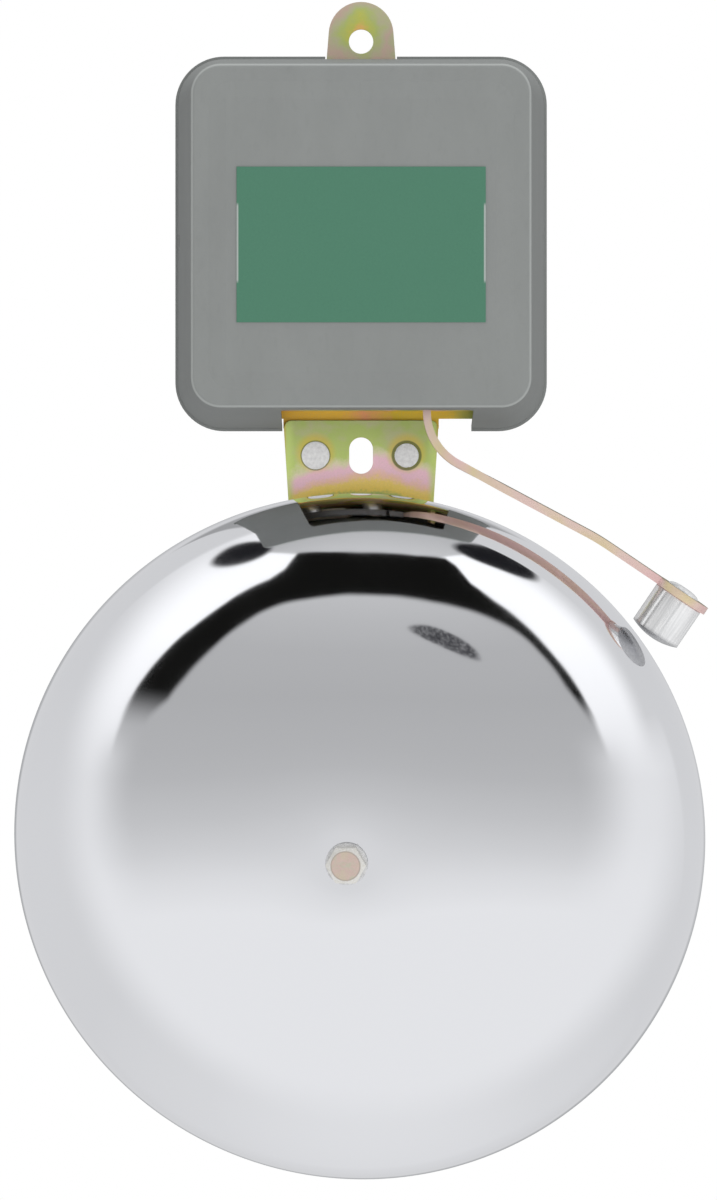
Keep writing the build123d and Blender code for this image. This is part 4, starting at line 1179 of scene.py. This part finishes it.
class BELL_OT_strap_rivets(bpy.types.Operator):
    """Makes the two hammered rivets of the strap"""

    bl_idname = "bell.strap_rivets"
    bl_label = "Strap rivets"

    def execute(self, context):
        settings = context.scene.bell_fixings
        seat = settings.strap_face
        seed_step = 7.3
        mesh = bmesh.new()
        for number, (low, high) in enumerate(loose_parts("strap_rivets")):
            centre = part_middle((low, high))
            matrix = axis_frame((centre.x, seat, centre.z), OUT_OF_WALL)
            peened_head(mesh, matrix, (high.x - low.x) / 2, seat - low.y, number * seed_step)
            shank(mesh, matrix, settings.rivet_shank_radius, high.y - seat)
        zinc = rivet_zinc()
        new_piece("strap_rivet_heads", mesh, zinc, "bell", ["strap_rivets"])
        return {"FINISHED"}


class BELL_OT_cover(bpy.types.Operator):
    """Paints the cover and lays its plain green label"""

    bl_idname = "bell.cover"
    bl_label = "Cover and label"

    def execute(self, context):
        dress("front_cover", box_paint(), NO_EDGE)
        dress("cover_label", label_green(), NO_EDGE)
        return {"FINISHED"}


class BELL_OT_plates(bpy.types.Operator):
    """Finishes the pressed plates and brackets in yellow-passivated zinc"""

    bl_idname = "bell.plates"
    bl_label = "Plates and brackets"

    def execute(self, context):
        dress("back_plate", plate_zinc(), SHEET_EDGE)
        dress("gong_strap", strap_zinc(), SHEET_EDGE)
        zinc = sheet_zinc()
        for node in ("chassis_plate", "hinge_bracket", "backstop_bracket", "spring_clamp"):
            dress(node, zinc)
        return {"FINISHED"}


def core_stack(settings):
    """The magnet's core as a stack of thin sheets, each standing back a little from its place."""
    low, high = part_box("magnet_core")
    count = round((high.y - low.y) / settings.sheet_thickness)
    step = (high.y - low.y) / count
    varnish = step * 0.08
    limb = settings.core_limb
    seeded = random.Random(5)
    mesh = bmesh.new()
    for sheet in range(count):
        outer = sheet in (0, count - 1)
        shift = 0 if outer else seeded.uniform(0, settings.sheet_shift)
        rise = 0 if outer else seeded.uniform(0, settings.sheet_shift)
        left, right = low.x + shift, high.x - shift
        inner = left + limb
        bottom, top = low.z + rise, high.z - rise
        sill, lintel = bottom + limb - rise, top - limb + rise
        outline = [(left, bottom), (right, bottom), (right, sill), (inner, sill)]
        outline += [(inner, lintel), (right, lintel), (right, top), (left, top)]
        start = low.y + step * sheet
        ends = (start + varnish, start + step - varnish)
        front, back = ([mesh.verts.new((x, y, z)) for x, z in outline] for y in ends)
        mesh.faces.new(front)
        mesh.faces.new(back[::-1])
        for index in range(len(outline)):
            ahead = (index + 1) % len(outline)
            mesh.faces.new((front[index], back[index], back[ahead], front[ahead]))
    return mesh


class BELL_OT_magnet(bpy.types.Operator):
    """Stacks the core, cuts the leaf spring into steps and finishes the armature and the coil"""

    bl_idname = "bell.magnet"
    bl_label = "Magnet"

    def execute(self, context):
        core = core_stack(context.scene.bell_magnet)
        steel = sheet_steel()
        new_piece("core_sheets", core, steel, "bell", ["magnet_core"])
        dress("armature", steel, SOFT_EDGE)
        dress("coil_bobbin", bobbin_nylon())
        dress("coil_winding", coil_copper(), NO_EDGE)
        dress("coil_tape", winding_tape(), NO_EDGE)
        dress("magnet_stand_offs")
        clamped = part_middle(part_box("leaf_spring"))
        held = clamped.copy()
        clamped.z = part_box("hinge_bracket")[0].z
        held.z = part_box("armature")[1].z
        leaf = bending_copy("leaf_spring", "leaf_strip", spring_steel(), clamped, held)
        return {"FINISHED"}


# Node, way out of its seat, shank radius, head height and slot.
SCREWS = (
    ("bracket_screws", OUT_OF_WALL, 0.002, 0.0024, "zinc_screws"),
    ("core_bolts", OUT_OF_WALL, 0.002, 0.0024, "zinc_screws"),
    ("clamp_screws", -RIGHT, 0.0015, 0.002, "zinc_screws"),
    ("backstop_screw", RIGHT, 0.002, 0.0024, "zinc_screws"),
    ("terminal_screws", OUT_OF_WALL, 0.0014, 0.0014, "zinc_screws"),
    ("earth_screw", OUT_OF_WALL, 0.002, 0.0026, "earth_brass"),
)


class BELL_OT_screws(bpy.types.Operator):
    """Makes the slotted screws of the works and finishes the lock nut"""

    bl_idname = "bell.screws"
    bl_label = "Screws"

    def execute(self, context):
        settings = context.scene.bell_fixings
        zinc = screw_zinc()
        brass = NODES["earth_screw"].data.materials[0]
        seeded = random.Random(11)
        for node, direction, shank_radius, height, slot in SCREWS:
            mesh = bmesh.new()
            slots = bmesh.new()
            for part in loose_parts(node):
                size = part[1] - part[0]
                length = abs(size.dot(direction))
                across = [size[index] for index in range(3) if abs(direction[index]) < 0.5]
                radius = max(across) / 2
                seat = part_middle(part) + direction * (length / 2 - height)
                turn = Matrix.Rotation(seeded.uniform(0, math.pi), 4, "Z")
                matrix = axis_frame(seat, direction) @ turn
                if node == "earth_screw":
                    ring = settings.earth_washer_thickness
                    section = [(0, -ring), (radius, -ring), (radius, 0), (0, 0)]
                    washer = rounded(section, [FINE_EDGE, FINE_EDGE], steps=3)
                    revolve(mesh, washer, matrix, 48, closed=False)
                    radius = settings.earth_head_radius
                slotted_head(mesh, matrix, radius, height)
                shank(mesh, matrix, shank_radius, length - height, chamfer=0.0003)
                half = radius * settings.slot_share / 2
                low = (-2 * radius, -half, height * 0.5)
                box(slots, low, (2 * radius, half, height * 2), matrix)
            finish = brass if slot == "earth_brass" else zinc
            piece = new_piece(node + "_slotted", mesh, finish, "bell", [node])
            cut(piece, slots)
        dress("backstop_nut", zinc)
        return {"FINISHED"}


class BELL_OT_wiring(bpy.types.Operator):
    """Finishes the terminal block, the coil's leads, the bush and the rubber buffer"""

    bl_idname = "bell.wiring"
    bl_label = "Wiring and rubber"

    def execute(self, context):
        dress("terminal_block", terminal_plastic(), SOFT_EDGE)
        dress("coil_leads", lead_sleeve(), NO_EDGE)
        dress("cable_bush", edge=SOFT_EDGE)
        dress("backstop_buffer", edge=SOFT_EDGE)
        return {"FINISHED"}


# ---------------------------------------------------------------- stage
# The chrome's room is drawn by direction: x to the right, front out of the wall and z up.
# Each curve is (place, value) points.
SCREEN_EDGE = (
    (-1.0, 0.28), (-0.9, 0.305), (-0.78, 0.346), (-0.67, 0.378), (-0.56, 0.396), (-0.4, 0.404),
    (-0.34, 0.385), (-0.288, 0.326), (-0.18, 0.358), (-0.07, 0.378), (0.04, 0.386), (0.15, 0.383),
    (0.25, 0.364), (0.29, 0.385), (0.35, 0.446), (0.44, 0.47), (0.53, 0.481), (0.68, 0.49),
    (0.79, 0.485), (1.0, 0.43),
)
GAP_EDGE = (
    (-1.0, 0.42), (-0.842, 0.449), (-0.783, 0.498), (-0.73, 0.514), (-0.672, 0.522),
    (-0.607, 0.527), (-0.535, 0.529), (-0.455, 0.533), (-0.366, 0.547), (-0.272, 0.567),
    (-0.175, 0.582), (-0.077, 0.594), (0.021, 0.599), (0.12, 0.6), (0.22, 0.592), (0.32, 0.577),
    (0.418, 0.559), (0.509, 0.543), (0.59, 0.535), (0.66, 0.535), (0.718, 0.537), (0.777, 0.521),
    (0.9, 0.47),
)
SCREEN_LEVEL = (
    (-1.0, 0.85), (-0.42, 0.85), (-0.3, 0.77), (-0.2, 0.67), (-0.08, 0.585), (0.08, 0.505),
    (0.18, 0.482), (0.4, 0.455), (0.6, 0.475), (0.72, 0.52), (0.82, 0.575), (1.0, 0.6),
)
NEAR_LEVEL = ((-1.0, 0.85), (-0.3, 0.85), (-0.1, 0.82), (0.08, 0.82), (0.35, 1.0), (0.6, 1.11))
FAR_LEVEL = ((-1.0, 0.8), (-0.87, 0.74), (-0.6, 0.69), (-0.1, 0.7), (0.4, 0.67), (1.0, 0.67))
VEIL_EDGE = (
    (-0.39, 0.265), (-0.31, 0.32), (-0.2, 0.385), (-0.1, 0.43), (0.15, 0.42), (0.31, 0.32),
    (1.0, 0.3),
)
WALL_BEHIND = (0.42, 0.425, 0.43)
WEDGE_BLACK = (0.01, 0.01, 0.012)
SPOT_BLACK = (0.05, 0.05, 0.055)
GAP_BLACK = (0.006, 0.006, 0.0055)
ROOM_TINT = (1.0, 1.005, 1.02)

# Dark patches: middle in x and towards the front, turn in degrees, half length and half width.
WEDGES = (((-0.468, 0.2), 31, (0.112, 0.056)), ((0.42, 0.268), -9, (0.15, 0.05)))
SPOT = ((0.262, 0.714), 0, (0.14, 0.03))


def dark_patch(nodes, z, centre, turn, size):
    """An oval patch in the upper front of the room."""
    slope = math.radians(turn)
    long_way = (math.cos(slope), -math.sin(slope), 0)
    wide_way = (-math.sin(slope), -math.cos(slope), 0)
    spread = []
    for way, reach in zip((long_way, wide_way), size):
        along = way[0] * centre[0] - way[1] * centre[1]
        share = nodes.math("DIVIDE", nodes.away(nodes.reach(way), along), reach)
        spread.append(nodes.math("POWER", share, 2.0))
    oval = nodes.span(nodes.total(*spread), 0.75, 1.15, 1.0, 0.0)
    return nodes.times(oval, nodes.span(z, 0.4, 0.5))


def white_walls(nodes, x, front, z):
    """The room outside the gap: bright near the screen, with a veil and two wedges over it."""
    upper_right = nodes.times(nodes.span(x, -0.05, 0.05), nodes.span(z, 0.1, 0.3))
    wide = nodes.span(front, -0.04, 0.27, smooth=True)
    narrow = nodes.span(front, 0.2, 0.33, smooth=True)
    near = nodes.mix(upper_right, wide, narrow)
    walls = nodes.mix(near, nodes.line(z, FAR_LEVEL), nodes.line(z, NEAR_LEVEL))
    walls = nodes.mix(nodes.span(front, -0.97, -0.88, 1.0, 0.0), walls, WALL_BEHIND)
    below_edge = nodes.math("SUBTRACT", nodes.line(x, VEIL_EDGE), front)
    veiled = nodes.times(
        nodes.span(below_edge, -0.004, 0.006),
        nodes.span(x, -0.4, -0.38),
        nodes.span(x, 0.3, 0.32, 1.0, 0.0),
        nodes.span(z, 0.5, 0.6),
    )
    walls = nodes.mix(veiled, walls, nodes.span(front, 0.12, 0.38, 0.36, 0.62))
    for wedge in WEDGES:
        walls = nodes.mix(dark_patch(nodes, z, *wedge), walls, WEDGE_BLACK)
    return walls


def pale_screen(nodes, z):
    """The screen round the camera, with one grainy spot."""
    grain = nodes.span(nodes.noise(0.012, detail=2), 0.38, 0.52, 0.55, 1.0)
    spot = nodes.times(dark_patch(nodes, z, *SPOT), grain)
    return nodes.mix(spot, nodes.line(z, SCREEN_LEVEL), SPOT_BLACK)


def chrome_room(nodes, x, front, z):
    """What the chrome mirrors: a pale screen round the camera, a black gap over it, white walls."""
    past = nodes.math("SUBTRACT", front, nodes.line(x, SCREEN_EDGE))
    short = nodes.math("SUBTRACT", nodes.line(x, GAP_EDGE), front)
    gap = nodes.times(
        nodes.span(past, -0.006, 0.006),
        nodes.span(z, 0.26, 0.42, smooth=True),
        nodes.span(short, -0.006, 0.014),
    )
    soft_edge = nodes.span(past, -0.12, 0.16, smooth=True)
    sharp_edge = nodes.span(past, 0.0, 0.02)
    edge = nodes.mix(nodes.span(z, 0.12, 0.3, smooth=True), soft_edge, sharp_edge)
    walls = white_walls(nodes, x, front, z)
    room = nodes.mix(edge, walls, pale_screen(nodes, z))
    return nodes.mix(1.0, nodes.mix(gap, room, GAP_BLACK), ROOM_TINT, "MULTIPLY")


def studio_world(settings):
    """White to the camera, soft front light on dull surfaces and a studio in the chrome."""
    world = bpy.data.worlds.new("studio")
    bpy.context.scene.world = world
    world.use_nodes = True
    nodes = Nodes(world.node_tree, "Generated")
    x, y, z = (nodes.axis(index) for index in range(3))
    front = nodes.math("MULTIPLY", y, -1.0)
    room = chrome_room(nodes, x, front, z)
    soft = nodes.total(
        nodes.span(front, 0, 1, 0.0, settings.front_level),
        nodes.span(x, 0, 1, 0.0, settings.right_level),
        settings.room_level,
    )
    path = nodes.add("ShaderNodeLightPath").outputs
    shown = nodes.mix(path["Is Glossy Ray"], soft, room)
    seen = nodes.math("MAXIMUM", path["Is Camera Ray"], path["Is Transmission Ray"])
    background = nodes.add("ShaderNodeBackground")
    nodes.put(background.inputs["Color"], nodes.mix(seen, shown, (1, 1, 1)))
    output = nodes.add("ShaderNodeOutputWorld")
    nodes.put(output.inputs["Surface"], background.outputs["Background"])


@recipe(roughness=0.9, specular_ior_level=0.1)
def pale_floor(finish):
    """Pale floor that fades out into the white round its edge."""
    radius = bpy.context.scene.bell_stage.floor_radius
    grain = finish.noise(0.02, detail=3)
    finish.base(grain, (0.8, 0.8, 0.8), (0.84, 0.84, 0.84))
    spread = finish.distance((0, 0, 0))
    finish.give("Alpha", finish.span(spread, radius * 0.45, radius, 1, 0, smooth=True))


def soft_light(name, place, aim, size, watts):
    """A wide soft lamp that the chrome doesn't mirror."""
    lamp = bpy.data.lights.new(name, "AREA")
    lamp.size = size
    lamp.energy = watts
    piece = bpy.data.objects.new(name, lamp)
    piece.location = place
    piece.rotation_euler = (Vector(aim) - Vector(place)).to_track_quat("-Z", "Y").to_euler()
    piece.visible_glossy = False
    bpy.context.scene.collection.objects.link(piece)


class BELL_OT_stage(bpy.types.Operator):
    """Sets the pale floor, the soft studio light and the camera"""

    bl_idname = "bell.stage"
    bl_label = "Stage"

    def execute(self, context):
        settings = context.scene.bell_stage
        context.scene.view_settings.view_transform = "Standard"
        studio_world(settings)
        mesh = bmesh.new()
        bmesh.ops.create_circle(mesh, cap_ends=True, radius=settings.floor_radius, segments=96)
        floor = linked_object("floor", mesh)
        floor.data.materials.append(pale_floor())
        floor.location = (0, 0, -settings.floor_drop)
        floor.visible_glossy = False
        for lamp in ("front", "top"):
            place, size, watts = (
                getattr(settings, lamp + part) for part in ("_place", "_size", "_power")
            )
            soft_light(lamp + "_lamp", place, settings.aim, size, watts)
        camera = bpy.data.objects.new("camera", bpy.data.cameras.new("camera"))
        camera.location = settings.camera_place
        camera.rotation_euler = (math.radians(90), 0, 0)
        camera.data.lens = settings.lens
        camera.data.clip_end = settings.view_end
        context.scene.collection.objects.link(camera)
        context.scene.camera = camera
        return {"FINISHED"}


OPERATORS = (
    BELL_OT_gong,
    BELL_OT_gong_fixings,
    BELL_OT_striker,
    BELL_OT_strap_rivets,
    BELL_OT_cover,
    BELL_OT_plates,
    BELL_OT_magnet,
    BELL_OT_screws,
    BELL_OT_wiring,
    BELL_OT_stage,
)


class BELL_PT_dressing(bpy.types.Panel):
    """Lists the bell's pieces"""

    bl_label = "Wall bell"
    bl_idname = "BELL_PT_dressing"
    bl_space_type = "VIEW_3D"
    bl_region_type = "UI"
    bl_category = "Bell"

    def draw(self, context):
        for operator in OPERATORS:
            self.layout.operator(operator.bl_idname)
        for name, group in SETTINGS.items():
            column = self.layout.column(align=True)
            column.label(text=group.__doc__)
            for setting in group.__annotations__:
                column.prop(getattr(context.scene, name), setting)


def register():
    """Registers the settings, the operators and the panel."""
    for name, group in SETTINGS.items():
        bpy.utils.register_class(group)
        setattr(bpy.types.Scene, name, PointerProperty(type=group))
    for operator in OPERATORS:
        bpy.utils.register_class(operator)
    bpy.utils.register_class(BELL_PT_dressing)


def unregister():
    """Takes them out again."""
    bpy.utils.unregister_class(BELL_PT_dressing)
    for operator in reversed(OPERATORS):
        bpy.utils.unregister_class(operator)
    for name, group in SETTINGS.items():
        delattr(bpy.types.Scene, name)
        bpy.utils.unregister_class(group)


def main():
    """Makes every piece in order."""
    register()
    for operator in OPERATORS:
        call = getattr(bpy.ops.bell, operator.bl_idname.split(".")[1])
        if call() != {"FINISHED"}:
            raise RuntimeError(operator.bl_label + " wasn't finished")


if __name__ == "__main__":
    main()
